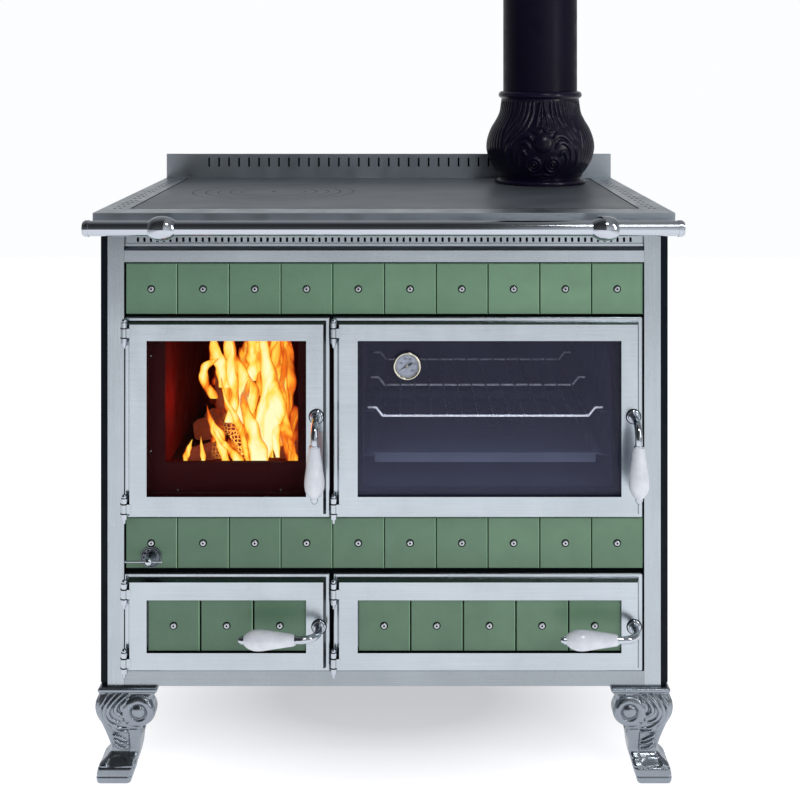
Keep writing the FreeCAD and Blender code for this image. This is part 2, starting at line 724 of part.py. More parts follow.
def ring_plate(x0, x1, d0, d1, z0, z1, inner):
    """A flat rectangular rim that lies level."""
    outer = block(x0, x1, d0, d1, z0, z1)
    return outer.cut(block(x0 + inner, x1 - inner, d0 + inner, d1 - inner, z0 - 1, z1 + 1))


# ---------------------------------------------------------------- doors

def hinge_heights(rows):
    below = UPPER_HINGE_BELOW if rows == UPPER_DOOR else LOWER_HINGE_BELOW
    return rows[0] + HINGE_ABOVE, rows[1] - below


def rect_wire(x0, x1, z0, z1, depth):
    corners = [(x0, z0), (x1, z0), (x1, z1), (x0, z1), (x0, z0)]
    return Part.makePolygon([Vector(x, y(depth), z) for x, z in corners])


def door_casting(columns, rows):
    """The solid outside of a door: a rounded flange with a bevelled, raised panel on it."""
    x0, x1 = columns
    z0, z1 = rows
    flange = block(x0, x1, DOOR_FLANGE_FACE, DOOR_BACK, z0, z1)
    corners = [e for e in flange.Edges if abs(e.Vertexes[0].Point.y - e.Vertexes[1].Point.y) > 1]
    flange = flange.makeFillet(2.5, corners)
    front = [e for e in flange.Edges if e.BoundBox.YMax < y(DOOR_FLANGE_FACE) + 0.01]
    flange = flange.makeFillet(2.2, front)
    a, b = FLANGE_WIDTH, FLANGE_WIDTH + BEVEL_WIDTH
    lower = rect_wire(x0 + a, x1 - a, z0 + a, z1 - a, DOOR_FLANGE_FACE + 1)
    upper = rect_wire(x0 + b, x1 - b, z0 + b, z1 - b, DOOR_FACE)
    return flange.fuse(Part.makeLoft([lower, upper], True, True))


def door_frame(columns, rows, window, opening, pivot, pocket_depth):
    """A door's frame, with its window, the pocket behind it, the handle's boss and hinge knuckles."""
    hinge_x = columns[0] + HINGE_INSET
    frame = door_casting(columns, rows)
    boss = rod_y(pivot[0], DOOR_FACE - 3, DOOR_BACK, pivot[1], 9)
    knuckles = []
    for z in hinge_heights(rows):
        knuckles.append(rod_z(hinge_x, HINGE_DEPTH, z - KNUCKLE_HALF, z + KNUCKLE_HALF, KNUCKLE_RADIUS))
        end = columns[0] + FLANGE_WIDTH + BEVEL_WIDTH + 2
        low, high = z - KNUCKLE_HALF, z + KNUCKLE_HALF
        knuckles.append(block(hinge_x, end, DOOR_FACE - 0.5, DOOR_FLANGE_FACE + 1, low, high))
    frame = frame.fuse([boss] + knuckles)
    x0, x1 = window
    z0, z1 = opening
    lap = GLASS_LAP
    cuts = [
        block(x0, x1, -20, DOOR_BACK + 1, z0, z1),
        block(x0 - lap, x1 + lap, pocket_depth, DOOR_BACK + 1, z0 - lap, z1 + lap),
        rod_y(pivot[0], -5, DOOR_BACK + 1, pivot[1], ROD_RADIUS + RUNNING_GAP),
    ]
    for z in hinge_heights(rows):
        cuts.append(rod_z(hinge_x, HINGE_DEPTH, z - 10, z + 10, PIN_RADIUS + 0.06))
    return frame.cut(cuts).removeSplitter()


def glazed_door(name, columns, window, pivot, glass_holes=()):
    """Frame, glass, retainer and rope seal of one of the two upper doors."""
    lap = GLASS_LAP - 0.3
    x0, x1 = window
    z0, z1 = UPPER_WINDOW
    save(name + "_frame", door_frame(columns, UPPER_DOOR, window, UPPER_WINDOW, pivot, GLASS_FACE))
    glass = block(x0 - lap, x1 + lap, GLASS_FACE, GLASS_BACK, z0 - lap, z1 + lap)
    for hole in glass_holes:
        glass = glass.cut(hole)
    save(name + "_glass", glass)
    ring = (x0 - lap, x1 + lap, z0 - lap, z1 + lap)
    save(name + "_glass_retainer", ring_block(*ring, GLASS_BACK, RETAINER_BACK, lap))
    inset = 1.2
    ring = (x0 - lap + inset, x1 + lap - inset, z0 - lap + inset, z1 + lap - inset)
    save(name + "_rope_seal", ring_block(*ring, RETAINER_BACK, SEAL_BACK, lap - 2 * inset))


def tiled_door(name, columns, window, pivot, count):
    """Frame with a backing plate, tiles and screws of one of the two lower doors."""
    frame = door_frame(columns, LOWER_DOOR, window, LOWER_WINDOW, pivot, GLASS_BACK)
    x0, x1 = window
    z0, z1 = LOWER_WINDOW
    lap = GLASS_LAP
    backing = block(x0 - lap, x1 + lap, GLASS_BACK, DOOR_BACK, z0 - lap, z1 + lap)
    centres = evenly_spaced(count, (x0 + x1) / 2, (x1 - x0) / count)
    low = (z0 + z1) / 2 - TILE_HEIGHT / 2
    holes = [rod_y(x, 5, 25, low + TILE_HEIGHT / 2, SCREW_HOLE_RADIUS) for x in centres]
    save(name + "_frame", frame.fuse(backing).removeSplitter().cut(Part.makeCompound(holes)))
    save(name + "_tiles", *[tile(x, low, DOOR_FACE + 4, GLASS_BACK) for x in centres])
    screws = [tile_screw(x, low + TILE_HEIGHT / 2, DOOR_FACE + 4, DOOR_BACK - 0.5) for x in centres]
    save(name + "_screws", *screws)


def hinge_lug(x, z):
    """The fixed half of a hinge: two knuckles on a leaf, with a pin and a finial at each end."""
    outer, inner = x - 2.9, x - 1.5
    parts = [block(outer, x + 5, PLATE_FACE - 3, PLATE_FACE, z - LUG_OUTER, z + LUG_OUTER)]
    for low in (-LUG_OUTER, LUG_INNER):
        high = low + LUG_OUTER - LUG_INNER
        parts.append(rod_z(x, HINGE_DEPTH, z + low, z + high, FIXED_KNUCKLE_RADIUS))
        parts.append(block(outer, inner, HINGE_DEPTH, PLATE_FACE, z + low, z + high))
    parts.append(rod_z(x, HINGE_DEPTH, z - LUG_OUTER, z + LUG_OUTER, PIN_RADIUS))
    parts.append(Part.makeSphere(3.9, Vector(x, y(HINGE_DEPTH), z + LUG_OUTER + 2.4)))
    tip = Part.makeCone(2.0, 3.6, 6, Vector(x, y(HINGE_DEPTH), z - LUG_OUTER - 6))
    parts.append(tip)
    parts.append(Part.makeSphere(2.2, Vector(x, y(HINGE_DEPTH), z - LUG_OUTER - 6)))
    return join(parts)


def save_hinge_lugs():
    lugs = [
        hinge_lug(columns[0] + HINGE_INSET, z)
        for columns in (LEFT_DOOR, RIGHT_DOOR)
        for rows in (UPPER_DOOR, LOWER_DOOR)
        for z in hinge_heights(rows)
    ]
    save("hinge_lugs", *lugs)


def save_doors():
    stem_hole = rod_y(DIAL_X, 0, 30, DIAL_Z, 4.6)
    glazed_door("fire_door", LEFT_DOOR, LEFT_WINDOW, FIRE_PIVOT)
    glazed_door("oven_door", RIGHT_DOOR, RIGHT_WINDOW, OVEN_PIVOT, [stem_hole])
    tiled_door("ash_door", LEFT_DOOR, LEFT_WINDOW, ASH_PIVOT, 3)
    tiled_door("wood_door", RIGHT_DOOR, RIGHT_WINDOW, WOOD_PIVOT, 5)


def save_thermometer():
    """A dial case on the oven glass with a stem into the oven, and the needle that turns in it."""
    case = rod_y(DIAL_X, 3, GLASS_FACE, DIAL_Z, DIAL_RADIUS)
    case = case.cut(rod_y(DIAL_X, 2, 8, DIAL_Z, DIAL_RADIUS - 2))
    stem = rod_y(DIAL_X, GLASS_FACE, 60, DIAL_Z, 4.0)
    arbor = rod_y(DIAL_X, 4.6, 9, DIAL_Z, 0.9)
    save("oven_thermometer", join([case, stem, arbor]))
    hub = rod_y(DIAL_X, 5.4, 6.6, DIAL_Z, 2.4)
    pointer = block(DIAL_X, DIAL_X + 14, 5.7, 6.3, DIAL_Z - 0.5, DIAL_Z + 0.5)
    tail = block(DIAL_X - 8, DIAL_X, 5.7, 6.3, DIAL_Z - 1.2, DIAL_Z + 1.2)
    needle = join([hub, pointer, tail]).cut(rod_y(DIAL_X, 4, 8, DIAL_Z, 0.96))
    needle.rotate(Vector(DIAL_X, 0, DIAL_Z), Vector(0, 1, 0), -COLD_ANGLE)
    save("thermometer_needle", needle)


# ---------------------------------------------------------------- handles and air valve

def grip_profile():
    """Radius against distance from the pivot, for a handle grip that swells towards its end."""
    start, length = NECK_END, GRIP_LENGTH
    swell = [(0, 8.3), (0.2, 10.4), (0.45, 13.0), (0.68, GRIP_RADIUS), (0.82, 14.2), (0.94, 10.2), (1.0, 6.4)]
    return [(r, -(start + length * share)) for share, r in swell]


def grip():
    """The ceramic grip, hanging below a pivot at the origin."""
    profile = grip_profile()
    curve = Part.BSplineCurve()
    curve.interpolate([Vector(r, 0, z) for r, z in profile])
    top, end = profile[0], profile[-1]
    bore = CORE_RADIUS + 0.1
    edges = [
        curve.toShape(),
        Part.makeLine(Vector(end[0], 0, end[1]), Vector(bore, 0, end[1])),
        Part.makeLine(Vector(bore, 0, end[1]), Vector(bore, 0, top[1])),
        Part.makeLine(Vector(bore, 0, top[1]), Vector(top[0], 0, top[1])),
    ]
    solid = Part.Face(Part.Wire(edges)).revolve(Vector(0, 0, 0), Vector(0, 0, 1), 360)
    solid.translate(Vector(0, y(GRIP_DEPTH), 0))
    return solid


def lever():
    """The bent rod: a spindle through the door, a quarter bend, a neck and a core for the grip."""
    bend_depth = GRIP_DEPTH + BEND_RADIUS
    spindle = rod_y(0, bend_depth, TONGUE_DEPTHS[1] + 1, 0, ROD_RADIUS)
    section = Part.Wire(Part.makeCircle(ROD_RADIUS, Vector(0, y(bend_depth), 0), Vector(0, 1, 0)))
    pivot = Vector(0, y(bend_depth), -BEND_RADIUS)
    bend = Part.Face(section).revolve(pivot, Vector(1, 0, 0), 90)
    grip_end = NECK_END + GRIP_LENGTH
    neck = rod_z(0, GRIP_DEPTH, -NECK_END, -BEND_RADIUS, ROD_RADIUS)
    collar = rod_z(0, GRIP_DEPTH, -NECK_END, -NECK_END + 2.5, 7.4)
    core = rod_z(0, GRIP_DEPTH, -grip_end - 3, -NECK_END, CORE_RADIUS)
    nut = rod_z(0, GRIP_DEPTH, -grip_end - 4, -grip_end, 5.8)
    dome = Part.makeSphere(4.4, Vector(0, y(GRIP_DEPTH), -grip_end - 4.6))
    return join([spindle, bend, neck, collar, core, nut, dome])


def save_handle(name, pivot, turn):
    """One handle. `turn` swings it from hanging down towards the left, in degrees."""
    axis = Vector(0, 1, 0)
    tongue = block(0, TONGUE_LENGTH, *TONGUE_DEPTHS, -5, 5)
    rod, sleeve = lever(), grip()
    for shape in (rod, sleeve):
        shape.rotate(Vector(0, 0, 0), axis, turn)
    rod = join([rod, tongue])
    for suffix, shape in (("_lever", rod), ("_grip", sleeve)):
        shape.translate(Vector(pivot[0], 0, pivot[1]))
        save(name + suffix, shape)


def save_handles():
    save_handle("fire_handle", FIRE_PIVOT, 0)
    save_handle("oven_handle", OVEN_PIVOT, 0)
    save_handle("ash_handle", ASH_PIVOT, 90)
    save_handle("wood_handle", WOOD_PIVOT, 90)


def save_air_valve():
    """A rosette on the tiles, and the knob that turns in it: ball, cross bar, spindle and shutter."""
    rosette = rod_y(VALVE_X, TILE_FACE - 3, TILE_FACE, VALVE_Z, VALVE_RADIUS)
    boss = rod_y(VALVE_X, TILE_FACE - 8, TILE_FACE, VALVE_Z, 7.5)
    bore = rod_y(VALVE_X, 0, 40, VALVE_Z, VALVE_SPINDLE_RADIUS + RUNNING_GAP)
    save("air_valve_rosette", join([rosette, boss]).cut(bore))
    front = TILE_FACE - 20
    left, right = VALVE_X - VALVE_BAR[0], VALVE_X + VALVE_BAR[1]
    ball = Part.makeSphere(6.4, Vector(VALVE_X, y(front), VALVE_Z))
    bar = rod_x(left, right, front, VALVE_Z, 1.5)
    ends = [Part.makeSphere(1.9, Vector(x, y(front), VALVE_Z)) for x in (left, right)]
    spindle = rod_y(VALVE_X, front, PLATE_BACK + 8, VALVE_Z, VALVE_SPINDLE_RADIUS)
    shutter = block(VALVE_X - 22, VALVE_X + 22, PLATE_BACK + 2, PLATE_BACK + 5, VALVE_Z - 9, VALVE_Z + 9)
    save("air_valve_knob", join([ball, bar, spindle, shutter] + ends))


def main():
    os.makedirs("parts", exist_ok=True)
    save_legs()
    save_base()
    save_side_panels()
    save_posts()
    save_rear_panel()
    save_front_plate()
    save_vent_fascia()
    save_plinth()
    save_tile_rows()
    save_hob_frame()
    save_hob_plate()
    save_hob_rings()
    save_backsplash()
    save_rail()
    save_flue()
    save_firebox()
    save_grate()
    save_ash_pan()
    save_oven_box()
    save_oven_rack()
    save_baking_tray()
    save_hinge_lugs()
    save_doors()
    save_thermometer()
    save_handles()
    save_air_valve()


main()
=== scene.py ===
import json
import math
import random

import bpy
import numpy as np
from mathutils import Matrix, Vector


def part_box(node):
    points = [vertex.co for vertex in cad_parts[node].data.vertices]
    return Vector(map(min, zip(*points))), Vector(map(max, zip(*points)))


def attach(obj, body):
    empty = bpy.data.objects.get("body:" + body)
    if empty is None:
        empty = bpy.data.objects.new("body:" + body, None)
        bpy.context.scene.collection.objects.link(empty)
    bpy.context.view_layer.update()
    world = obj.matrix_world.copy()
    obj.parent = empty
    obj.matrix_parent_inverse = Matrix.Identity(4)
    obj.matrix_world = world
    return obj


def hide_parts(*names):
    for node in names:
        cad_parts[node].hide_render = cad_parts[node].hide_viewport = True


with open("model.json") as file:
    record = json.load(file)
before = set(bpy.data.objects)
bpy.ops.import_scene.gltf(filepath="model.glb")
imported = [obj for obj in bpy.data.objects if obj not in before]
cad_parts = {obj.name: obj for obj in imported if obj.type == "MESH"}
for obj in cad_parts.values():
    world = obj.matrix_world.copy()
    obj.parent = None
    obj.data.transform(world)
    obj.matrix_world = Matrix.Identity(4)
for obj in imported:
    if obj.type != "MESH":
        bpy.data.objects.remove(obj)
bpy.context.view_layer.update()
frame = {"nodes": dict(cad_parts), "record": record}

MM = 0.001
NODES = frame["nodes"]
scene = bpy.context.scene

# ---- places read from the frame


def middle(node):
    low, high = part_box(node)
    return (low + high) / 2


HOB_LOW, HOB_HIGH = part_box("hob_frame")
HOB_TOP = HOB_HIGH.z
HOB_FRONT = HOB_LOW.y

# ---- materials

VERTICAL = (1, 1, 0.012)
ACROSS = (0.012, 1, 1)
HOB_LINES = (141.2, 118, 97.2, 76, 56.2)
TILE_PITCH = 79.4 * MM
TILE_WIDTH = 78.4 * MM


class Tree:
    """A short way to make shader nodes and to join them."""

    def __init__(self, tree, shader):
        self.tree = tree
        self.shader = shader

    def add(self, kind, inputs=None, **settings):
        node = self.tree.nodes.new("ShaderNode" + kind)
        for key, value in settings.items():
            setattr(node, key, value)
        for key, value in (inputs or {}).items():
            self.plug(value, node.inputs[key])
        return node

    def plug(self, value, socket):
        """Joins another node's output to a socket, or sets the socket to a plain value."""
        if isinstance(value, bpy.types.NodeSocket):
            self.tree.links.new(value, socket)
        else:
            socket.default_value = value

    def give(self, socket, value):
        """Sets one socket of the shader itself."""
        self.plug(value, self.shader.inputs[socket])

    def place(self, stretch=(1, 1, 1)):
        """Object coordinates, stretched. The object's own origin is the frame's, so this is in metres."""
        coordinates = self.add("TexCoord").outputs["Object"]
        return self.add("Mapping", {"Vector": coordinates, "Scale": stretch}).outputs[0]

    def along(self, axis):
        """Where the point is along one axis, in metres."""
        return self.add("SeparateXYZ", {"Vector": self.place()}).outputs[axis]

    def distance(self, center, stretch=(1, 1, 1)):
        """How far the point is from another, in stretched metres."""
        inputs = {0: self.place(stretch), 1: center}
        return self.add("VectorMath", inputs, operation="DISTANCE").outputs["Value"]

    def noise(self, scale, stretch=(1, 1, 1), detail=3.0, rough=0.55, distortion=0.0):
        inputs = {
            "Vector": self.place(stretch), "Scale": scale, "Detail": detail,
            "Roughness": rough, "Distortion": distortion,
        }
        return self.add("TexNoise", inputs).outputs["Fac"]

    def spread(self, value, low=0.0, high=1.0, start=0.3, end=0.7):
        """Maps a noise value from its usual span to low..high."""
        inputs = {"Value": value, "From Min": start, "From Max": end, "To Min": low, "To Max": high}
        return self.add("MapRange", inputs).outputs[0]

    def mix(self, factor, a, b, blend="MIX"):
        node = self.add("Mix", data_type="RGBA", blend_type=blend)
        for key, value in (("Factor", factor), ("A", a), ("B", b)):
            socket = [s for s in node.inputs if s.name == key and s.type in ("RGBA", "VALUE")]
            socket = [s for s in socket if (s.type == "RGBA") == (key != "Factor")][0]
            self.plug(value, socket)
        return [s for s in node.outputs if s.type == "RGBA"][0]

    def blend(self, factor, a, b):
        """A number that goes from a to b as the factor goes from 0 to 1."""
        inputs = {"Factor": factor, "A": a, "B": b}
        return self.add("Mix", inputs, data_type="FLOAT").outputs[0]

    def math(self, operation, a, b=0.0):
        node = self.add("Math", operation=operation)
        for socket, value in zip(node.inputs, (a, b)):
            self.plug(value, socket)
        return node.outputs[0]

    def bump(self, height, strength, distance, normal=None):
        inputs = {"Height": height, "Strength": strength, "Distance": distance}
        if normal:
            inputs["Normal"] = normal
        return self.add("Bump", inputs).outputs[0]


def linear(r, g, b):
    """A colour given as it looks on a screen, 0 to 255, as the linear colour a shader takes."""
    def one(v):
        v = v / 255
        return v / 12.92 if v <= 0.04045 else ((v + 0.055) / 1.055) ** 2.4
    return (one(r), one(g), one(b), 1.0)


def shaded(color, factor):
    return tuple(c * factor for c in color[:3]) + (1.0,)


MATERIALS = {}


def new_material(name, **screw_and_gap_shade):
    """Starts a material, keeps it in MATERIALS, and returns the tree in which its look is built."""
    material = bpy.data.materials.new(name)
    material.use_nodes = True
    MATERIALS[name] = material
    tree = Tree(material.node_tree, material.node_tree.nodes["Principled BSDF"])
    for key, value in screw_and_gap_shade.items():
        tree.give(key.replace("_", " "), value)
    return tree


def paint_relief_light(tree, color, light, dark):
    """Paints a highlight on the ridges of a finely meshed casting and shade in its hollows."""
    point = tree.add("NewGeometry").outputs["Pointiness"]
    ridges = tree.mix(tree.spread(point, 0.0, 0.7, 0.51, 0.58), color, light)
    return tree.mix(tree.spread(point, 0.9, 0.0, 0.42, 0.492), ridges, dark)


def facing(tree, way, start, end):
    """How far the surface faces one way, from 0 to 1. The way turns with the object, as on an open door."""
    normal = tree.add("TexCoord").outputs["Normal"]
    toward = tree.add("VectorMath", {0: normal, 1: way}, operation="DOT_PRODUCT").outputs["Value"]
    return tree.spread(toward, 0.0, 1.0, start, end)


def metal(name, color, rough, grain=(1, 1, 1), grain_scale=900, grain_depth=0.04, waviness=0.35, tint=0.06,
          relief_light_painted=False, up_right_shade=0.0):
    """Polished or brushed metal: fine grain along one way, cloudy roughness and a slightly uneven sheet.
    On a finely meshed casting a painted highlight lightens the ridges and painted shade darkens the hollows,
    and painted shade darkens the surfaces that face upwards and those that face to the right."""
    tree = new_material(name, Metallic=1.0)
    cloud = tree.noise(9.0, detail=4)
    streak = tree.noise(grain_scale, grain, detail=2)
    base = tree.mix(tree.spread(cloud), shaded(color, 1 - tint), shaded(color, 1 + tint))
    base = tree.mix(tree.spread(streak, 0.0, 0.25), base, shaded(color, 0.8))
    # painted highlight on the ridges and painted shade in the hollows
    if relief_light_painted:
        base = paint_relief_light(tree, base, shaded(color, 1.2), shaded(color, 0.12))
    # painted shade on the surfaces that face upwards and on those that face to the right
    if up_right_shade:
        up_right_shade_mask = tree.math("MULTIPLY", facing(tree, (0.6, 0.0, 0.8), 0.25, 0.5), up_right_shade)
        base = tree.mix(up_right_shade_mask, base, shaded(color, 0.1))
    tree.give("Base Color", base)
    smear = tree.noise(26.0, (1, 1, 0.4), detail=5)
    fine = tree.math("MULTIPLY", tree.spread(streak), rough * 0.25)
    tree.give("Roughness", tree.math("ADD", tree.spread(smear, rough * 0.75, rough * 1.3), fine))
    sheet = tree.bump(tree.noise(5.0, detail=1), waviness, 4 * MM)
    tree.give("Normal", tree.bump(streak, grain_depth, 0.15 * MM, sheet))


def hob_steel():
    """Heat-stained steel plate, with painted shade along the gaps and grooves about the middle of the hob
    rings.
    """
    tree = new_material("hob_steel", Metallic=0.55)
    color = linear(92, 99, 107)
    cloud = tree.noise(7.0, detail=5)
    streak = tree.noise(900, ACROSS, detail=2)
    base = tree.mix(tree.spread(cloud), shaded(color, 0.86), shaded(color, 1.14))
    base = tree.mix(tree.spread(streak, 0.0, 0.3), base, shaded(color, 0.75))
    center = middle("hob_lid")
    away = tree.distance((center.x, center.y, HOB_TOP))
    # painted shade: dark rings along the gaps and grooves of the hob rings
    painted_shade = 0.0
    for radius in HOB_LINES:
        beside = tree.math("ABSOLUTE", tree.math("SUBTRACT", away, radius * MM))
        painted_shade = tree.math("MAXIMUM", tree.spread(beside, 0.85, 0.0, 0.5 * MM, 1.9 * MM), painted_shade)
    base = tree.mix(painted_shade, base, shaded(color, 0.12))
    tree.give("Base Color", base)
    tree.give("Roughness", tree.spread(cloud, 0.36, 0.48))
    tree.give("Normal", tree.bump(streak, 0.12, 0.15 * MM))


def coating(name, color, rough, speck=700, depth=0.1, tint=0.12, specular=0.5, relief_light_painted=False, other=None):
    """Paint, enamel or cast iron: mottled colour, cloudy roughness and a fine pebbled surface.
    Heat may have turned it another colour about the mouth of the firebox."""
    tree = new_material(name, Specular_IOR_Level=specular)
    cloud = tree.noise(14.0, detail=5)
    base = tree.mix(tree.spread(cloud), shaded(color, 1 - tint), shaded(color, 1 + tint))
    if other:
        across, up = tree.along("X"), tree.along("Z")
        left = tree.spread(across, 1.0, 0.0, -84 * MM, -78 * MM)
        high_enough = tree.spread(up, 0.0, 1.0, 408 * MM, 412 * MM)
        low_enough = tree.spread(up, 1.0, 0.0, 700 * MM, 704 * MM)
        mouth = tree.math("MULTIPLY", left, tree.math("MULTIPLY", high_enough, low_enough))
        base = tree.mix(mouth, base, other)
    # painted highlight on the ridges and painted shade in the hollows
    if relief_light_painted:
        base = paint_relief_light(tree, base, shaded(color, 2.0), shaded(color, 0.4))
    tree.give("Base Color", base)
    smear = tree.noise(40.0, detail=4)
    tree.give("Roughness", tree.spread(smear, rough * 0.8, rough * 1.2))
    pebble = tree.noise(speck, detail=3, rough=0.6)
    tree.give("Normal", tree.bump(pebble, depth, 0.4 * MM))


def green_glaze():
    """Glazed tiles: the green drifts from tile to tile. Painted light makes it lighter towards the right and
    painted shade darker towards the floor; the bevels that face right and up get a painted highlight, those
    that face left and down painted shade.
    """
    tree = new_material("green_glaze", Specular_IOR_Level=0.45, Coat_Weight=0.12, Coat_Roughness=0.12)
    dark, light = linear(78, 110, 88), linear(108, 143, 115)
    across = tree.along("X")
    # lighter towards the right: painted light
    painted_light_rightward = tree.spread(across, 0.1, 0.85, -0.4, 0.4)
    cell = tree.add("TexWhiteNoise", noise_dimensions="1D")
    number = tree.math("FLOOR", tree.math("DIVIDE", across, TILE_PITCH))
    tree.plug(number, cell.inputs["W"])
    kiln = tree.spread(cell.outputs["Value"], -0.10, 0.10, 0.0, 1.0)
    base = tree.mix(tree.math("ADD", painted_light_rightward, kiln), dark, light)
    fleck = tree.noise(420.0, detail=5, rough=0.65)
    base = tree.mix(tree.spread(fleck, 0.0, 0.2), base, shaded(light, 1.2))
    cloud = tree.noise(30.0, detail=4)
    base = tree.mix(tree.spread(cloud, 0.0, 0.22), base, shaded(dark, 0.75))
    # darker towards the floor: painted shade
    base = tree.mix(tree.spread(tree.along("Z"), 0.40, 0.0, 0.15, 0.6), base, shaded(dark, 0.4))
    # painted highlight on the bevels that face right and up, painted shade on those that face left and down
    base = tree.mix(facing(tree, (1, 0, 0.4), 0.3, 0.6), base, shaded(light, 1.5))
    base = tree.mix(facing(tree, (-1, 0, -1), 0.3, 0.6), base, shaded(dark, 0.25))
    tree.give("Base Color", base)
    tree.give("Roughness", tree.spread(cloud, 0.30, 0.42))
    ripple = tree.bump(tree.noise(60.0, detail=2), 0.12, 0.6 * MM)
    tree.give("Normal", tree.bump(fleck, 0.03, 0.2 * MM, ripple))


def white_ceramic():
    """White glazed porcelain with a faint cloud in its glaze."""
    tree = new_material("white_ceramic", Specular_IOR_Level=0.6, Coat_Weight=0.5, Coat_Roughness=0.05)
    cloud = tree.noise(60.0, detail=4)
    base = tree.mix(tree.spread(cloud), linear(196, 200, 210), linear(212, 216, 223))
    tree.give("Base Color", base)
    tree.give("Roughness", tree.spread(cloud, 0.10, 0.17))
    tree.give("Normal", tree.bump(tree.noise(90.0, detail=2), 0.05, 0.3 * MM))


def bright_wire():
    """Thin nickel wire, with a painted highlight on the side that faces the door and painted shade along its
    sides.
    """
    tree = new_material("wire_chrome", Metallic=0.3, Specular_IOR_Level=0.8)
    cloud = tree.noise(300.0, detail=3)
    painted_highlight = tree.mix(tree.spread(cloud), linear(205, 210, 228), linear(245, 247, 255))
    # painted highlight where the wire faces the door, painted shade along its sides
    across = facing(tree, (0, -1, 0), 0.2, 0.6)
    tree.give("Base Color", tree.mix(across, linear(46, 48, 66), painted_highlight))
    tree.give("Roughness", tree.spread(cloud, 0.2, 0.35))


def window_glass(name, color, alpha, rough=0.03, specular=0.5, foot=None):
    """Flat heat-proof glass, tinted, with faint smears of grime and grease, and perhaps paler at its foot, a
    painted reflection of the floor.
    """
    tree = new_material(name, Specular_IOR_Level=specular)
    smear = tree.noise(16.0, (1, 1, 0.5), detail=5, distortion=0.6)
    base = tree.mix(tree.spread(smear), shaded(color, 0.9), shaded(color, 1.1))
    # paler towards the foot: painted reflection of the floor
    if foot:
        base = tree.mix(tree.spread(tree.along("Z"), 1.0, 0.0, 0.43, 0.60), base, foot)
    tree.give("Base Color", base)
    tree.give("Roughness", tree.spread(smear, rough, rough * 2.5))
    tree.give("Alpha", tree.spread(smear, alpha * 0.93, alpha * 1.07))
    tree.give("Normal", tree.bump(tree.noise(3.0, detail=1), 0.05, 1 * MM))


def rope():
    """Grey glass fibre rope: fine twisted strands."""
    tree = new_material("rope", Specular_IOR_Level=0.2)
    strand = tree.add("TexWave", {
        "Vector": tree.place((1, 1, 1)), "Scale": 260.0, "Distortion": 2.0, "Detail": 2.0,
    }, bands_direction="DIAGONAL").outputs["Fac"]
    tree.give("Base Color", tree.mix(strand, linear(30, 30, 32), linear(70, 70, 72)))
    tree.give("Roughness", tree.spread(strand, 0.8, 0.95, 0, 1))
    tree.give("Normal", tree.bump(strand, 0.5, 0.5 * MM))


STEEL = linear(195, 204, 211)
metal("polished_steel", STEEL, 0.20, ACROSS, waviness=0.5, up_right_shade=0.85)
# darker copies of the polished steel for the posts and plinth: painted shade
metal("post_steel_shaded", shaded(STEEL, 0.90), 0.22, VERTICAL, waviness=0.5, up_right_shade=0.85)
metal("plinth_steel_shaded", shaded(STEEL, 0.68), 0.24, ACROSS, waviness=0.4, up_right_shade=0.85)
metal("brushed_steel", linear(187, 195, 203), 0.34, ACROSS, grain_depth=0.1)
metal("chrome", linear(200, 207, 216), 0.07, waviness=0.15, grain_depth=0.01, tint=0.03)
metal("cast_chrome", linear(154, 162, 171), 0.24, waviness=0.2, grain_depth=0.02, relief_light_painted=True)
coating("dark_panel", linear(14, 20, 28), 0.5, specular=0.02)
coating("cast_front", linear(18, 19, 26), 0.7, specular=0.05, other=linear(50, 14, 18))
hob_steel()
coating("black_cast", linear(13, 9, 29), 0.24, speck=500, depth=0.1, specular=0.3, relief_light_painted=True)
coating("black_pipe", linear(12, 9, 27), 0.40, speck=900, depth=0.08, specular=0.12)
green_glaze()
window_glass("fire_glass", linear(30, 6, 5), 0.08, specular=0.1)
# the oven glass is paler at its foot: painted reflection of the floor
window_glass("oven_glass", linear(38, 40, 62), 0.42, specular=0.3, foot=linear(62, 66, 92))
white_ceramic()
rope()
coating("fire_lining", linear(78, 12, 9), 0.8, speck=220, depth=0.5, tint=0.3, specular=0.05)
coating("grate_iron", linear(30, 14, 12), 0.7, depth=0.4, specular=0.05)
coating("oven_enamel", linear(30, 32, 48), 0.6, depth=0.0, specular=0.1)
bright_wire()
coating("tray_enamel", linear(56, 60, 76), 0.6, depth=0.0, specular=0.1)
metal("valve_steel", linear(104, 110, 118), 0.22, waviness=0.6)
metal("screw_steel", linear(196, 200, 206), 0.22, waviness=0.1)
metal("dial_steel", linear(236, 232, 214), 0.12, waviness=0.1)
coating("needle_black", linear(14, 14, 18), 0.4)
# near-black, for the pieces that paint shade into gaps, holes, slots and recesses
coating("painted_shade", linear(10, 11, 14), 0.85, specular=0.05)
metal("zinc", linear(140, 146, 154), 0.4, VERTICAL, grain_depth=0.1)

for row in frame["record"]["subparts"]:
    data = NODES[row["node"]].data
    data.materials.clear()
    data.materials.append(MATERIALS[row["material_slot"]])
# the posts and plinth take the darker steel copies, painted shade
OTHER_STEEL = {
    "air_valve_rosette": "valve_steel", "plinth_strip": "plinth_steel_shaded",
    "corner_post_left": "post_steel_shaded", "corner_post_right": "post_steel_shaded",
}
for node, finish in OTHER_STEEL.items():
    NODES[node].data.materials[0] = MATERIALS[finish]

# ---- ways to build meshes


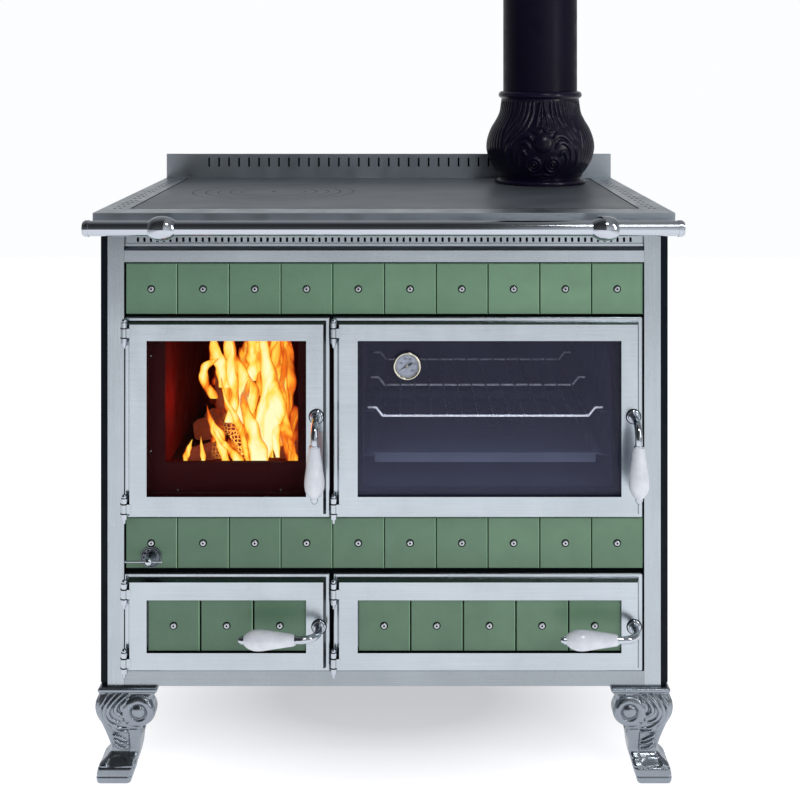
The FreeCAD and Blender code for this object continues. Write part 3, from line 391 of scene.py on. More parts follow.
def flow(points, count=28):
    """Places along a smooth curve that passes through the given ones."""
    points = np.array(points, float)
    padded = np.vstack([2 * points[0] - points[1], points, 2 * points[-1] - points[-2]])
    spots = []
    for share in np.linspace(0, len(points) - 1, count):
        i = min(int(share), len(points) - 2)
        t = share - i
        a, b, c, d = padded[i:i + 4]
        bend = (2 * a - 5 * b + 4 * c - d) * t**2 + (3 * b - a - 3 * c + d) * t**3
        spots.append((2 * b + (c - a) * t + bend) / 2)
    return np.array(spots)


def ridge(across, up, path, width, height):
    """The height, over a grid, of a rounded band that follows a path and narrows towards its end."""
    length = sum(math.dist(a, b) for a, b in zip(path, path[1:]))
    spots = flow(path, max(12, int(3 * length / width)))
    total = np.zeros(across.shape)
    for i, (a, b) in enumerate(spots):
        share = i / (len(spots) - 1)
        taper = min(1.0, 0.55 + 3 * share) * math.sqrt(1 - 0.8 * share**3)
        near = 1 - ((across - a) ** 2 + (up - b) ** 2) / (width * taper) ** 2
        total = np.maximum(total, height * taper * np.sqrt(np.clip(near, 0, 1)))
    return total


def dome(across, up, middle, radius, height):
    near = 1 - ((across - middle[0]) ** 2 + (up - middle[1]) ** 2) / radius**2
    return height * np.sqrt(np.clip(near, 0, 1))


def hoop(across, up, middle, radius, half, height):
    """A rounded ring of the given radius and half width."""
    away = np.hypot(across - middle[0], up - middle[1]) - radius
    return height * np.sqrt(np.clip(1 - (away / half) ** 2, 0, 1))


def outline_distance(across, up, outline):
    """Signed distance to a closed outline over a grid: negative inside."""
    best = np.full(across.shape, 1e9)
    inside = np.zeros(across.shape, bool)
    for (x0, z0), (x1, z1) in zip(outline, np.roll(outline, -1, axis=0)):
        dx, dz = x1 - x0, z1 - z0
        t = np.clip(((across - x0) * dx + (up - z0) * dz) / max(dx * dx + dz * dz, 1e-9), 0, 1)
        best = np.minimum(best, np.hypot(across - x0 - t * dx, up - z0 - t * dz))
        if z0 != z1:
            beside = x0 + (up - z0) / (z1 - z0) * dx
            inside ^= ((z0 > up) != (z1 > up)) & (across < beside)
    return np.where(inside, -best, best)


def soft_max(a, b, radius):
    """The overlap of two fields, with the edge between them rounded."""
    corner = np.hypot(np.maximum(a + radius, 0), np.maximum(b + radius, 0))
    return np.minimum(np.maximum(a, b), -radius) + corner


def soft_min(a, b, radius):
    return -soft_max(-a, -b, radius)


def box_field(x, y, z, low, high, radius):
    """Signed distance to a box with rounded edges."""
    reach = [np.maximum(lo + radius - v, v - hi + radius) for v, lo, hi in zip((x, y, z), low, high)]
    outside = np.sqrt(sum(np.maximum(r, 0) ** 2 for r in reach))
    return outside + np.minimum(np.maximum.reduce(reach), 0) - radius


def surface_nets(field, low, step):
    """Meshes the surface where a sampled field is zero.
    Each cell that the surface crosses gets a point, and each crossed edge a face."""
    inside = field < 0
    cells = tuple(n - 1 for n in field.shape)
    total = np.zeros(cells + (3,))
    count = np.zeros(cells)
    for axis in range(3):
        b, c = (axis + 1) % 3, (axis + 2) % 3
        for db, dc in ((0, 0), (0, 1), (1, 0), (1, 1)):
            start = np.zeros(3, int)
            start[b], start[c] = db, dc
            end = start.copy()
            end[axis] += 1
            near = field[tuple(slice(s, s + n) for s, n in zip(start, cells))]
            far = field[tuple(slice(s, s + n) for s, n in zip(end, cells))]
            crossed = (near < 0) != (far < 0)
            share = near / np.where(crossed, near - far, 1)
            place = np.broadcast_to(start, cells + (3,)).astype(float)
            place[..., axis] += share
            total += place * crossed[..., None]
            count += crossed
    used = count > 0
    number = np.full(cells, -1)
    number[used] = np.arange(used.sum())
    verts = (np.argwhere(used) + total[used] / count[used][:, None]) * step + np.array(low)
    faces = []
    for axis in range(3):
        b, c = (axis + 1) % 3, (axis + 2) % 3
        first = [slice(1, -1)] * 3
        first[axis] = slice(0, -1)
        second = list(first)
        second[axis] = slice(1, None)
        here, there = inside[tuple(first)], inside[tuple(second)]
        spots = np.argwhere(here != there)
        outward = here[tuple(spots.T)]
        spots[:, b] += 1
        spots[:, c] += 1
        corners = []
        for db, dc in ((0, 0), (-1, 0), (-1, -1), (0, -1)):
            cell = spots.copy()
            cell[:, b] += db
            cell[:, c] += dc
            corners.append(number[tuple(cell.T)])
        quads = np.stack(corners, axis=1)
        quads[~outward] = quads[~outward][:, ::-1]
        faces.append(quads)
    return verts, np.vstack(faces)


def show(name, data):
    """Puts a mesh, lamp or camera in the scene."""
    item = bpy.data.objects.new(name, data)
    scene.collection.objects.link(item)
    return item


def make_piece(name, verts, faces, material, body="cabinet", smooth=True):
    """A mesh object given in metres, shown with one material and carried by a body."""
    mesh = bpy.data.meshes.new(name)
    mesh.from_pydata([tuple(v) for v in verts], [], [tuple(int(i) for i in f) for f in faces])
    mesh.validate()
    mesh.polygons.foreach_set("use_smooth", [smooth] * len(mesh.polygons))
    mesh.materials.append(MATERIALS[material])
    mesh.update()
    item = show(name, mesh)
    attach(item, body)
    return item


def turned_faces(sides, count):
    """Faces of a full turn whose vertices come as copies of a closed outline of count points."""
    faces = []
    for i in range(sides):
        shift = ((i + 1) % sides - i) * count
        for k in range(count):
            a, b = i * count + k, i * count + (k + 1) % count
            faces.append((a, a + shift, b + shift, b))
    return faces


def bar_faces(rows, sides, start=0):
    """Faces of a round bar whose vertices come in rows, with closed ends."""
    faces = []
    for i in range(rows - 1):
        for k in range(sides):
            a, b = start + i * sides + k, start + i * sides + (k + 1) % sides
            faces.append((a, b, b + sides, a + sides))
    last = start + (rows - 1) * sides
    faces.append(tuple(range(start, start + sides))[::-1])
    faces.append(tuple(range(last, last + sides)))
    return faces


def lathe(profile, sides):
    """Turns a closed (radius, height) outline about +Z."""
    verts = []
    for i in range(sides):
        angle = 2 * math.pi * i / sides
        for r, z in profile:
            verts.append((r * math.cos(angle), r * math.sin(angle), z))
    return np.array(verts), turned_faces(sides, len(profile))


def turned_to(verts, axis):
    """Turns a mesh made about +Z so that its axis points along another direction."""
    turn = Vector((0, 0, 1)).rotation_difference(Vector(axis)).to_matrix()
    return np.array(verts) @ np.array(turn).T


def arc(middle, radius, start, end, count):
    """Points of an arc, from one angle to another in degrees."""
    angles = np.radians(np.linspace(start, end, count))
    return [(middle[0] + radius * math.cos(a), middle[1] + radius * math.sin(a)) for a in angles]


AXIS = 0.02
FRONT = (0, -1, 0)


class Heap:
    """Collects closed shapes into one mesh. A solid turned shape starts at AXIS, just off its axis."""

    def __init__(self):
        self.verts, self.faces = [], []

    def add(self, verts, faces):
        start = len(self.verts)
        self.verts.extend(tuple(v) for v in verts)
        self.faces.extend(tuple(i + start for i in face) for face in faces)

    def turned(self, profile, middle, axis=(0, 0, 1), sides=48):
        """A turned shape, its profile in millimetres."""
        verts, faces = lathe(np.array(profile) * MM, sides)
        self.add(turned_to(verts, axis) + np.array(middle), faces)

    def block(self, low, high):
        xs, ys, zs = zip(low, high)
        verts = [(x, y, z) for x in xs for y in ys for z in zs]
        faces = [(0, 1, 3, 2), (4, 6, 7, 5), (0, 4, 5, 1), (2, 3, 7, 6), (0, 2, 6, 4), (1, 5, 7, 3)]
        self.add(verts, faces)

    def tube(self, path, radii, sides=16):
        """A round bar along a path, with a radius for each of its points and closed ends."""
        path = np.array(path, float)
        along = np.gradient(path, axis=0)
        along /= np.linalg.norm(along, axis=1)[:, None]
        side = np.cross(along[0], (0.3, 0.2, 1.0))
        verts = []
        for place, way, radius in zip(path, along, radii):
            side = side - way * np.dot(side, way)
            side /= np.linalg.norm(side)
            other = np.cross(way, side)
            for k in range(sides):
                a = 2 * math.pi * k / sides
                verts.append(place + radius * (math.cos(a) * side + math.sin(a) * other))
        self.add(verts, bar_faces(len(path), sides))

    def piece(self, name, material, body="cabinet", smooth=True):
        return make_piece(name, self.verts, self.faces, material, body, smooth)


# ---- cast legs

LEG_STEP = 1.15
LEG_TOP = 145.0
LEG_REACH = 90.0
LEG_WALL = 26.0
SCROLL = (62.5, 109.0)
SCROLL_RADIUS = 24.6
SCROLL_RING = (18.8, 6.2, 3.6)
BALL_RADIUS, BALL_HEIGHT = 10.8, 5.5
LEG_OUTER = [
    (3, 137), (-2, 120), (-0.7, 105), (3, 92.5), (8, 77), (13.5, 58),
    (16.5, 43), (13, 37), (5.5, 31), (0.6, 26), (-0.8, 21), (-2.5, 12),
]
LEG_FOOT = [(-2.2, 6), (-1, 0.5), (2, -2.3), (46.5, -2.3), (50, 1), (52.5, 12.4)]
LEG_INNER = [(57, 25), (60, 40), (61.6, 55), (65.5, 70), (64, 80), (70, 88)]
LEG_NECK = [(80, 127), (88, 136), (88, 140), (4, 140)]
FRONDS = [
    ([(15, 136), (5, 120), (5.7, 106), (12, 92), (21, 79), (27, 74)], 3.6),
    ([(27, 137), (15, 125), (10.5, 110), (13.6, 97), (23, 87), (32, 82), (44, 81.5)], 3.3),
    ([(37, 137), (24, 126), (16.5, 112), (19, 101), (27, 94), (34, 93)], 3.6),
    ([(47, 136), (33, 126), (27.5, 114), (31, 108), (40, 102.5), (46.5, 98)], 3.2),
    ([(45, 129), (38, 121), (37.5, 114), (42.5, 110)], 3.2),
    ([(20, 88), (28, 78), (39, 76), (45, 75.5)], 3.0),
    ([(40, 96), (48, 95.4), (53, 96)], 2.6),
    ([(45, 90.7), (54, 89), (60, 87.4)], 2.6),
    ([(21.5, 69.7), (29.5, 65.7), (37.4, 61), (42, 59.8)], 3.0),
    ([(23, 63), (31, 57), (38.7, 54.5), (43.3, 53.8)], 2.7),
    ([(24, 56), (29, 49), (36, 46), (42, 46)], 2.6),
]
FROND_HEIGHT = 4.2
SHIN = (45.5, 33.0, 81.0)
SHIN_HEIGHT = 1.8
HOLLOW = [(15, 29), (28, 31), (41, 30)]
FOOT_GROOVES = (24.1, 11.7)
ROOM_FLOOR = 62.0
SIDE_RELIEF = 0.55


def leg_relief(across, up):
    """What stands out from one face of a leg: fronds, the scroll's ring and ball, and the shin band."""
    height = np.zeros(across.shape)
    for path, width in FRONDS:
        height = np.maximum(height, ridge(across, up, path, width, FROND_HEIGHT))
    height = np.maximum(height, hoop(across, up, SCROLL, *SCROLL_RING))
    ball = (SCROLL[0], SCROLL[1] + 1.5)
    height = np.maximum(height, dome(across, up, ball, BALL_RADIUS, BALL_HEIGHT))
    edge, low, high = SHIN
    band = np.clip((across - edge) / 1.2, 0, 1)
    band = band * np.clip((up - low) / 3, 0, 1) * np.clip((high - up) / 2, 0, 1)
    height = np.maximum(height, SHIN_HEIGHT * band)
    return height - ridge(across, up, HOLLOW, 6.0, 1.6)


def leg_mesh():
    """One corner leg in millimetres, with its outer corner at the origin and its faces along +X and +Y."""
    outline = np.vstack([flow(LEG_OUTER), LEG_FOOT, flow(LEG_INNER, 14), LEG_NECK])
    span = np.arange(-9, LEG_REACH + 5, LEG_STEP)
    rise = np.arange(-2.5, LEG_TOP + 3, LEG_STEP)
    across, up = np.meshgrid(span, rise, indexing="ij")
    shape = outline_distance(across, up, outline)
    disc = np.hypot(across - SCROLL[0], up - SCROLL[1]) - SCROLL_RADIUS
    shape = soft_min(shape, disc, 2.0)
    relief = leg_relief(across, up) * np.clip((1.5 - shape) / 3.5, 0, 1)
    x, y, z = np.meshgrid(span, span, rise, indexing="ij")
    body = soft_max(shape[:, None, :], shape[None, :, :], 6.0)
    room = np.maximum(np.maximum(LEG_WALL - x, LEG_WALL - y), ROOM_FLOOR - z)
    body = soft_max(body, -room, 3.0)
    face = np.where(shape < 0, across, LEG_REACH).min(axis=0)
    body = body - relief[:, None, :] * np.clip((face + 12 - y) / 6, 0, 1)
    body = body - SIDE_RELIEF * relief[None, :, :] * np.clip((face + 12 - x) / 6, 0, 1)
    for height in FOOT_GROOVES:
        body = body + 1.5 * np.exp(-(((z - height) / 1.0) ** 2))
    plate = box_field(x, y, z, (0, 0, 138.2), (LEG_REACH, LEG_REACH, LEG_TOP - 1.2), 1.4)
    cap = box_field(x, y, z, (2.5, 2.5, 136), (LEG_REACH - 2, LEG_REACH - 2, LEG_TOP), 0.4)
    body = np.minimum(soft_min(body, plate, 1.2), cap)
    body = np.maximum(body, -z)
    return surface_nets(body, (span[0], span[0], rise[0]), LEG_STEP)


def legs():
    verts, faces = leg_mesh()
    for node in ("leg_front_left", "leg_front_right", "leg_rear_left", "leg_rear_right"):
        low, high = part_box(node)
        side = 1 if "left" in node else -1
        depth = 1 if "front" in node else -1
        corner = np.array((low.x if side > 0 else high.x, low.y if depth > 0 else high.y, low.z))
        placed = verts * MM * np.array((side, depth, 1)) + corner
        turned = faces if side * depth > 0 else faces[:, ::-1]
        name = node.replace("leg", "cast_leg")
        item = make_piece(name, placed, turned, "cast_chrome")
        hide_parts(node)


# ---- flue collar

COLLAR_SHAPE = [
    (77, 11), (86, 25), (96, 42), (101, 60), (101.7, 73),
    (99, 87), (92.5, 104), (83, 120), (76, 136), (73.5, 160),
]
COLLAR_FOOT = [(71, 0), (84.5, 0), (86.3, 1.5), (86.8, 4), (86, 7), (83, 9), (79, 10.5)]
COLLAR_RIM = [
    (73.5, 160.5), (76.5, 162), (78.6, 164.5), (79, 167),
    (78.4, 170), (76, 172.6), (73, 174), (71, 174),
]
COLLAR_SIDES = 560
COLLAR_GIRTH = 100.0
COLLAR_REPEATS = 2
COLLAR_TURN = math.radians(-93)
LEAVES = [
    ([(22, 158), (24, 135), (32, 112), (46, 92)], 4.2, 2.6),
    ([(32, 158), (36, 135), (46, 110), (62, 88)], 4.6, 2.8),
    ([(43, 158), (48, 132), (60, 105), (75, 82)], 4.6, 2.6),
    ([(55, 156), (63, 125), (75, 100)], 4.2, 2.4),
    ([(70, 158), (73, 130), (78, 112)], 3.6, 2.0),
    ([(18, 84), (29, 95), (44, 92), (56, 78), (60, 58)], 5.4, 4.2),
    ([(24, 72), (34, 82), (46, 78), (54, 64), (56, 44)], 4.4, 3.4),
    ([(31, 58), (40, 65), (47, 52), (48, 32)], 4.2, 3.0),
    ([(61, 78), (70, 62), (72, 40), (64, 22)], 5.2, 3.4),
    ([(3.4, 157), (8, 135), (12.5, 113)], 3.4, 4.2),
    ([(1, 106), (12, 100.5), (23, 104)], 3.0, 3.6),
    ([(30, 30), (26, 22), (14, 19), (2, 22)], 3.4, 2.6),
]
for place in range(82, 155, 9):
    rib = [(place, 158), (place + 3, 130), (place + 6, 95), (place + 2, 55), (place - 5, 24)]
    LEAVES.append((rib, 4.6, 2.0))
ROSETTE = (18.5, 39)
SHELL_HEIGHT = 5.5


def collar_relief(along, up):
    """Acanthus leaves, a palmette over a shell, and a pair of rosettes. It repeats round the collar."""
    mirrored = np.abs(along)
    height = np.zeros(along.shape)
    for path, width, rise in LEAVES:
        height = np.maximum(height, ridge(mirrored, up, path, width, rise))
    height = np.maximum(height, ridge(mirrored, up, [(0, 158), (0, 134), (0, 112)], 3.0, 2.4))
    shell = 1 - (mirrored / 19) ** 2 - ((up - 84) / np.where(up > 84, 15, 21)) ** 2
    height = np.maximum(height, SHELL_HEIGHT * np.sqrt(np.clip(shell, 0, 1)))
    for radius, half, rise in ((13, 3.2, 3.6), (6.8, 2.2, 2.8)):
        height = np.maximum(height, hoop(mirrored, up, ROSETTE, radius, half, rise))
    return np.maximum(height, dome(mirrored, up, ROSETTE, 3.6, 4.4))


def flue_collar():
    low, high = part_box("flue_collar")
    foot = ((low.x + high.x) / 2, (low.y + high.y) / 2, low.z)
    bulb = [tuple(p) for p in flow(COLLAR_SHAPE, 130)]
    profile = np.array(COLLAR_FOOT + bulb + COLLAR_RIM)
    angle = np.linspace(0, 2 * math.pi, COLLAR_SIDES, endpoint=False)[:, None]
    pitch = 2 * math.pi / COLLAR_REPEATS
    local = (angle - COLLAR_TURN + pitch / 2) % pitch - pitch / 2
    radius, up = np.broadcast_arrays(profile[:, 0], profile[:, 1])
    along = np.broadcast_to(local * COLLAR_GIRTH, (COLLAR_SIDES, len(profile)))
    height = np.tile(up, (COLLAR_SIDES, 1))
    fade = np.clip((up - 13) / 5, 0, 1) * np.clip((158 - up) / 5, 0, 1)
    reach = radius + collar_relief(along, height) * fade - 1.2 * fade
    x, y = reach * np.cos(angle), reach * np.sin(angle)
    verts = np.stack([x, y, height], axis=2).reshape(-1, 3) * MM + np.array(foot)
    faces = turned_faces(COLLAR_SIDES, len(profile))
    item = make_piece("cast_flue_collar", verts, faces, "black_cast")
    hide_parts("flue_collar")


# ---- fire

FLAMES = [
    ([(26, -4), (30, 60), (30, 120), (22, 215)], 50, 96, 0.56),
    ([(84, -4), (80, 60), (74, 120), (66, 200)], 24, 92, 0.58),
    ([(-24, 0), (-28, 50), (-26, 100), (-30, 150)], 22, 90, 0.42),
    ([(30, -5), (36, 60), (42, 130), (38, 215)], 28, 70, 0.72),
    ([(72, -5), (70, 50), (64, 120), (60, 205)], 20, 62, 0.74),
    ([(-4, 70), (-4, 110), (-10, 150), (-12, 215)], 19, 66, 0.66),
    ([(44, -5), (52, 41), (58, 85), (54, 129), (48, 165), (45, 215)], 19, 30, 1.10),
    ([(93, -5), (87, 29), (80, 70), (75, 116), (80, 153), (66, 205)], 10, 36, 0.72),
    ([(6, 55), (15, 94), (10, 129), (-4, 158), (-14, 210)], 18, 50, 0.86),
    ([(-14, 112), (-24, 141), (-31, 165), (-34, 205)], 12, 44, 0.80),
    ([(-33, 96), (-47, 120), (-46, 143), (-33, 156), (-18, 157)], 9, 40, 0.78),
    ([(-4, -5), (-14, 21), (-24, 46), (-33, 65), (-40, 92)], 9, 24, 0.84),
    ([(15, -5), (5, 17), (-14, 38), (-30, 61)], 9, 18, 0.92),
    ([(28, -5), (18, 41), (3, 75), (-12, 99), (-19, 134)], 5.5, 20, 0.90),
    ([(-71, -5), (-71, 12), (-66, 26), (-61, 41)], 5.0, 14, 0.84),
    ([(-43, -5), (-44, 17), (-47, 46)], 4.2, 12, 0.88),
    ([(97, -5), (96, 21), (86, 44)], 7, 22, 0.74),
    ([(42, -5), (40, 21), (35, 51), (18, 92), (22, 130)], 15, 26, 1.0),
    ([(24, 120), (30, 158), (27, 212)], 15, 54, 0.88),
    ([(66, 112), (64, 148), (71, 195)], 10, 46, 0.82),
    ([(-6, 60), (2, 100), (-8, 140), (-2, 180)], 9, 38, 0.86),
    ([(70, 10), (66, 60), (70, 110)], 7, 28, 0.90),
]
LOGS = [
    ([(-74, 3, 20), (-44, 9, 26), (-16, 12, 34)], 14),
    ([(30, -6, 22), (8, 26, 26), (-14, 60, 32)], 9.5),
    ([(48, 46, 44), (34, 84, 50), (19, 122, 56)], 9.5),
    ([(-26, 70, 60), (-28, 98, 64), (-30, 126, 70)], 8),
    ([(60, 6, 30), (84, 8, 34), (104, 12, 44)], 12),
    ([(-80, 16, 120), (0, 26, 130), (92, 14, 124)], 17),
    ([(-70, 14, 190), (10, 18, 182), (88, 20, 196)], 19),
    ([(-30, 44, 110), (10, 46, 160), (40, 48, 220)], 15),
]
FIRE_FRONT = 62.0
FLAME_SIDES, FLAME_STEPS = 20, 34


def fire_origin():
    """The front middle of the fire: over the grate's middle, behind the front plate."""
    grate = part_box("fire_grate")[1]
    return np.array((middle("fire_grate").x, HOB_FRONT + FIRE_FRONT * MM, grate.z))


def flame_material():
    """Burning gas: pale yellow inside, orange then red at its rim, and fading out there."""
    tree = new_material(
        "flame", Roughness=1.0, Specular_IOR_Level=0.0, Emission_Strength=1.25,
    )
    heat = tree.add("Attribute", attribute_name="warmth").outputs["Fac"]
    lick = tree.noise(34.0, (1, 1, 0.36), detail=5, distortion=0.9)
    warm = tree.math("ADD", heat, tree.spread(lick, -0.5, 0.28, 0.3, 0.7))
    ramp = tree.add("ValToRGB", {"Fac": warm})
    stops = (
        (0.0, (0.10, 0.003, 0.0, 1)), (0.22, (0.50, 0.03, 0.004, 1)), (0.36, (0.92, 0.17, 0.012, 1)),
        (0.50, (1.0, 0.42, 0.03, 1)), (0.70, (1.0, 0.74, 0.11, 1)), (0.98, (1.0, 0.93, 0.52, 1)),
    )
    elements = ramp.color_ramp.elements
    elements[1].position = stops[-1][0]
    elements[1].color = stops[-1][1]
    elements[0].color = stops[0][1]
    for place, color in stops[1:-1]:
        elements.new(place).color = color
    tree.give("Base Color", (0, 0, 0, 1))
    tree.give("Emission Color", ramp.outputs["Color"])
    tree.give("Alpha", tree.spread(warm, 0.0, 1.0, 0.08, 0.46))


def bark_material():
    """Charred wood: dark ridged bark with glowing cracks."""
    tree = new_material("charred_bark", Specular_IOR_Level=0.2, Emission_Strength=2.6)
    ridges = tree.noise(70.0, (1, 1, 0.5), detail=6, distortion=1.2)
    base = tree.mix(tree.spread(ridges), linear(30, 12, 9), linear(96, 50, 40))
    tree.give("Base Color", base)
    tree.give("Roughness", tree.spread(ridges, 0.8, 0.95))
    tree.give("Normal", tree.bump(ridges, 0.8, 3 * MM))
    crack = tree.add("TexVoronoi", {
        "Vector": tree.place(), "Scale": 170.0, "Randomness": 0.55,
    }, feature="DISTANCE_TO_EDGE").outputs["Distance"]
    glow = tree.spread(crack, 1.0, 0.0, 0.02, 0.14)
    x, _, z = (fire_origin() + np.array((8, 0, 22)) * MM).tolist()
    away = tree.distance((x, 0, z), (1, 0, 1))
    glow = tree.math("MULTIPLY", glow, tree.spread(away, 1.0, 0.0, 18 * MM, 46 * MM))
    tree.give("Emission Color", tree.mix(glow, (0.05, 0.008, 0.003, 1), (1.0, 0.36, 0.05, 1)))


def flames():
    """Tongues of flame, each a closed lens that tapers upwards and sways about its path."""
    sides, steps = FLAME_SIDES, FLAME_STEPS
    verts, faces, heats = [], [], []
    dice = random.Random(7)
    origin = fire_origin()
    for path, half, depth, warmth in FLAMES:
        spots = flow(path, steps)
        wave, turn = dice.uniform(0.6, 1.3), dice.uniform(0, 6.28)
        start = len(verts)
        for i, (x, z) in enumerate(spots):
            share = i / (steps - 1)
            swell = math.sin(math.pi * (0.14 + 0.86 * share) ** 0.8) ** 0.7
            wobble = 1 + 0.22 * math.sin(9 * share * wave + turn) + 0.12 * math.sin(23 * share + turn)
            reach = max(half * swell * wobble, 0.2)
            sway = 0.18 * half * math.sin(7 * share * wave + 2 * turn)
            for k in range(sides):
                angle = 2 * math.pi * k / sides
                across = x + sway + reach * math.cos(angle)
                back = depth + 0.12 * z + 0.22 * reach * math.sin(angle)
                verts.append(origin + np.array((across, back - FIRE_FRONT / 2, z)) * MM)
                heats.append(warmth * abs(math.sin(angle)) ** 0.75 * (1.08 - 0.34 * share))
        faces += bar_faces(steps, sides, start)
    flame_material()
    item = make_piece("flames", verts, faces, "flame")
    heat = item.data.attributes.new("warmth", "FLOAT", "POINT")
    heat.data.foreach_set("value", np.array(heats, np.float32))
    item.data.update()
    item.visible_shadow = False


def logs():
    origin = fire_origin()
    heap = Heap()
    for number, (path, radius) in enumerate(LOGS):
        dice = random.Random(number)
        spots = flow(path, 18)
        radii = []
        for i in range(len(spots)):
            ends = 0.72 if i in (0, len(spots) - 1) else 1.0
            radii.append(radius * ends * dice.uniform(0.88, 1.1) * MM)
        heap.tube(np.array([origin + np.array((x, d, z)) * MM for x, z, d in spots]), radii, 22)
    bark_material()
    heap.piece("logs", "charred_bark")


def firebox_screws():
    """Round-headed screws that hold the firebox's front, seen through the glass."""
    low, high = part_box("fire_door_glass")
    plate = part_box("front_plate")[0].y
    places = [
        (low.x + 8.9 * MM, high.z - 35.9 * MM), (low.x + 8.9 * MM, low.z + 69.9 * MM),
        (low.x + 51 * MM, low.z + 9.8 * MM), (high.x - 48.7 * MM, low.z + 9.8 * MM),
    ]
    heap = Heap()
    profile = [(AXIS, -1), (2.0, -1), (2.0, 0.3)] + arc((0, 0.3), 2.0, 18, 88, 5)
    for x, z in places:
        heap.turned(profile, (x, plate, z), FRONT, 20)
    heap.piece("firebox_screws", "screw_steel")


# ---- thermometer

DIAL_ANGLES = {"100": 157, "150": 110, "200": 66, "250": 17, "300": -42}
NEEDLE_ANGLE = math.radians(209)
PAINT_STAND, NEEDLE_STAND = 4.25, 5.6


def dial_middle():
    """The middle of the dial, on the face of the oven glass."""
    case = middle("oven_thermometer")
    return np.array((case.x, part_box("oven_door_glass")[0].y, case.z))


def dial_paint():
    tree = new_material("dial_paint", Specular_IOR_Level=0.4)
    cloud = tree.noise(120.0, detail=4)
    base = tree.mix(tree.spread(cloud), linear(134, 141, 158), linear(158, 164, 180))
    tree.give("Base Color", base)
    tree.give("Roughness", tree.spread(cloud, 0.35, 0.5))


def on_dial(radius, angle, stand):
    """A point of the dial, in millimetres from its middle, that stands so far out from the glass."""
    return np.array((radius * math.cos(angle), -stand, radius * math.sin(angle)))


def dial_and_case():
    """The turned case with its stem through the glass, and the painted disc in it."""
    place = dial_middle()
    case = Heap()
    rim = [(18.4, 0), (18.6, 3), (19.2, 5.2), (20.4, 5.8)]
    rim += arc((19.4, 7.4), 1.5, -20, 150, 9)
    rim += [(17.4, 7.6), (17.2, 3.6), (17.0, 0.2)]
    case.turned(rim, place, FRONT, 96)
    stem = [(AXIS, -48), (3.6, -48), (4.0, -47), (4.0, 0), (AXIS, 0)]
    case.turned(stem, place, FRONT, 32)
    item = case.piece("thermometer_case", "dial_steel", "oven_door")
    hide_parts("oven_thermometer")
    dial = Heap()
    disc = [(AXIS, 0.1), (18.5, 0.1), (18.5, 4.0), (17.3, 4.2), (AXIS, 4.2)]
    dial.turned(disc, place, FRONT, 96)
    dial_paint()
    dial.piece("thermometer_dial", "dial_paint", "oven_door")


def dial_marks():
    """Fifty even steps round the dial, every tenth one longer, and the numbers."""
    place = dial_middle()
    marks = Heap()
    for step in range(51):
        angle = math.radians(215 - step * 5.2)
        inner = 13.6 if step % 10 == 0 else 14.6
        path = [place + on_dial(radius, angle, PAINT_STAND) * MM for radius in (inner, 15.6)]
        marks.tube(path, [0.13 * MM] * 2, 6)
    marks.piece("thermometer_marks", "needle_black", "oven_door")
    for text, degrees in DIAL_ANGLES.items():
        number(text, place + on_dial(10.9, math.radians(degrees), PAINT_STAND) * MM)


def needle():
    """The tapered pointer, with its counterweight, and the domed hub over it."""
    place = dial_middle()
    pointer = Heap()
    reaches = (-8.2, -7.6, -3.0, 0.0, 3.0, 13.4)
    path = [place + on_dial(reach, NEEDLE_ANGLE, NEEDLE_STAND) * MM for reach in reaches]
    pointer.tube(path, [r * MM for r in (0.7, 1.05, 1.05, 0.6, 0.75, 0.15)], 12)
    item = pointer.piece("needle_pointer", "needle_black", "needle")
    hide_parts("thermometer_needle")
    hub = Heap()
    dome_top = arc((0.9, 6.6), 1.0, 10, 88, 5)
    hub.turned([(AXIS, 4.8), (1.9, 4.8), (1.9, 6.6)] + dome_top, place, FRONT, 32)
    hub.piece("needle_hub", "dial_steel", "needle")


def number(text, place):
    """A small raised number on the dial, from Blender's own font."""
    curve = bpy.data.curves.new("number", "FONT")
    curve.body = text
    curve.size = 4.2 * MM
    curve.extrude = 0.08 * MM
    curve.align_x = "CENTER"
    curve.align_y = "CENTER"
    item = show("number", curve)
    bpy.context.view_layer.update()
    shape = bpy.data.meshes.new_from_object(item.evaluated_get(bpy.context.evaluated_depsgraph_get()))
    bpy.data.objects.remove(item)
    shape.transform(Matrix.Translation(place) @ Matrix.Rotation(math.pi / 2, 4, "X"))
    shape.materials.clear()
    shape.materials.append(MATERIALS["needle_black"])
    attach(show("dial_number_" + text, shape), "oven_door")


# ---- painted shade: dark pieces in holes, slots and gaps, and about screws and roses

SLOT_STRIPS = (("backsplash", 4, 2.4, 3.4, 30, 4), ("vent_fascia", 2, 10.1, 10.8, 23, 3))
VENTS_IN_ROW = 17
FIRST_VENT, VENT_PITCH = 62, 29.5


def slot_painted_shade():
    """Painted shade: dark strips behind the slots of the backsplash and the vent fascia, and dark discs in
    the side vents of the hob.
    """
    heap = Heap()
    for node, side, near, far, bottom, top in SLOT_STRIPS:
        low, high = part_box(node)
        start = (low.x + side * MM, low.y + near * MM, high.z - bottom * MM)
        heap.block(start, (high.x - side * MM, low.y + far * MM, high.z - top * MM))
    plug = [(AXIS, -2), (2.9, -2), (2.9, 0.1), (AXIS, 0.1)]
    for x in (-421, -412.5, 412.5, 421):
        for i in range(VENTS_IN_ROW):
            y = HOB_FRONT + (FIRST_VENT + VENT_PITCH * i) * MM
            heap.turned(plug, (x * MM, y, HOB_TOP), sides=16)
    heap.piece("slot_painted_shade", "painted_shade", smooth=False)


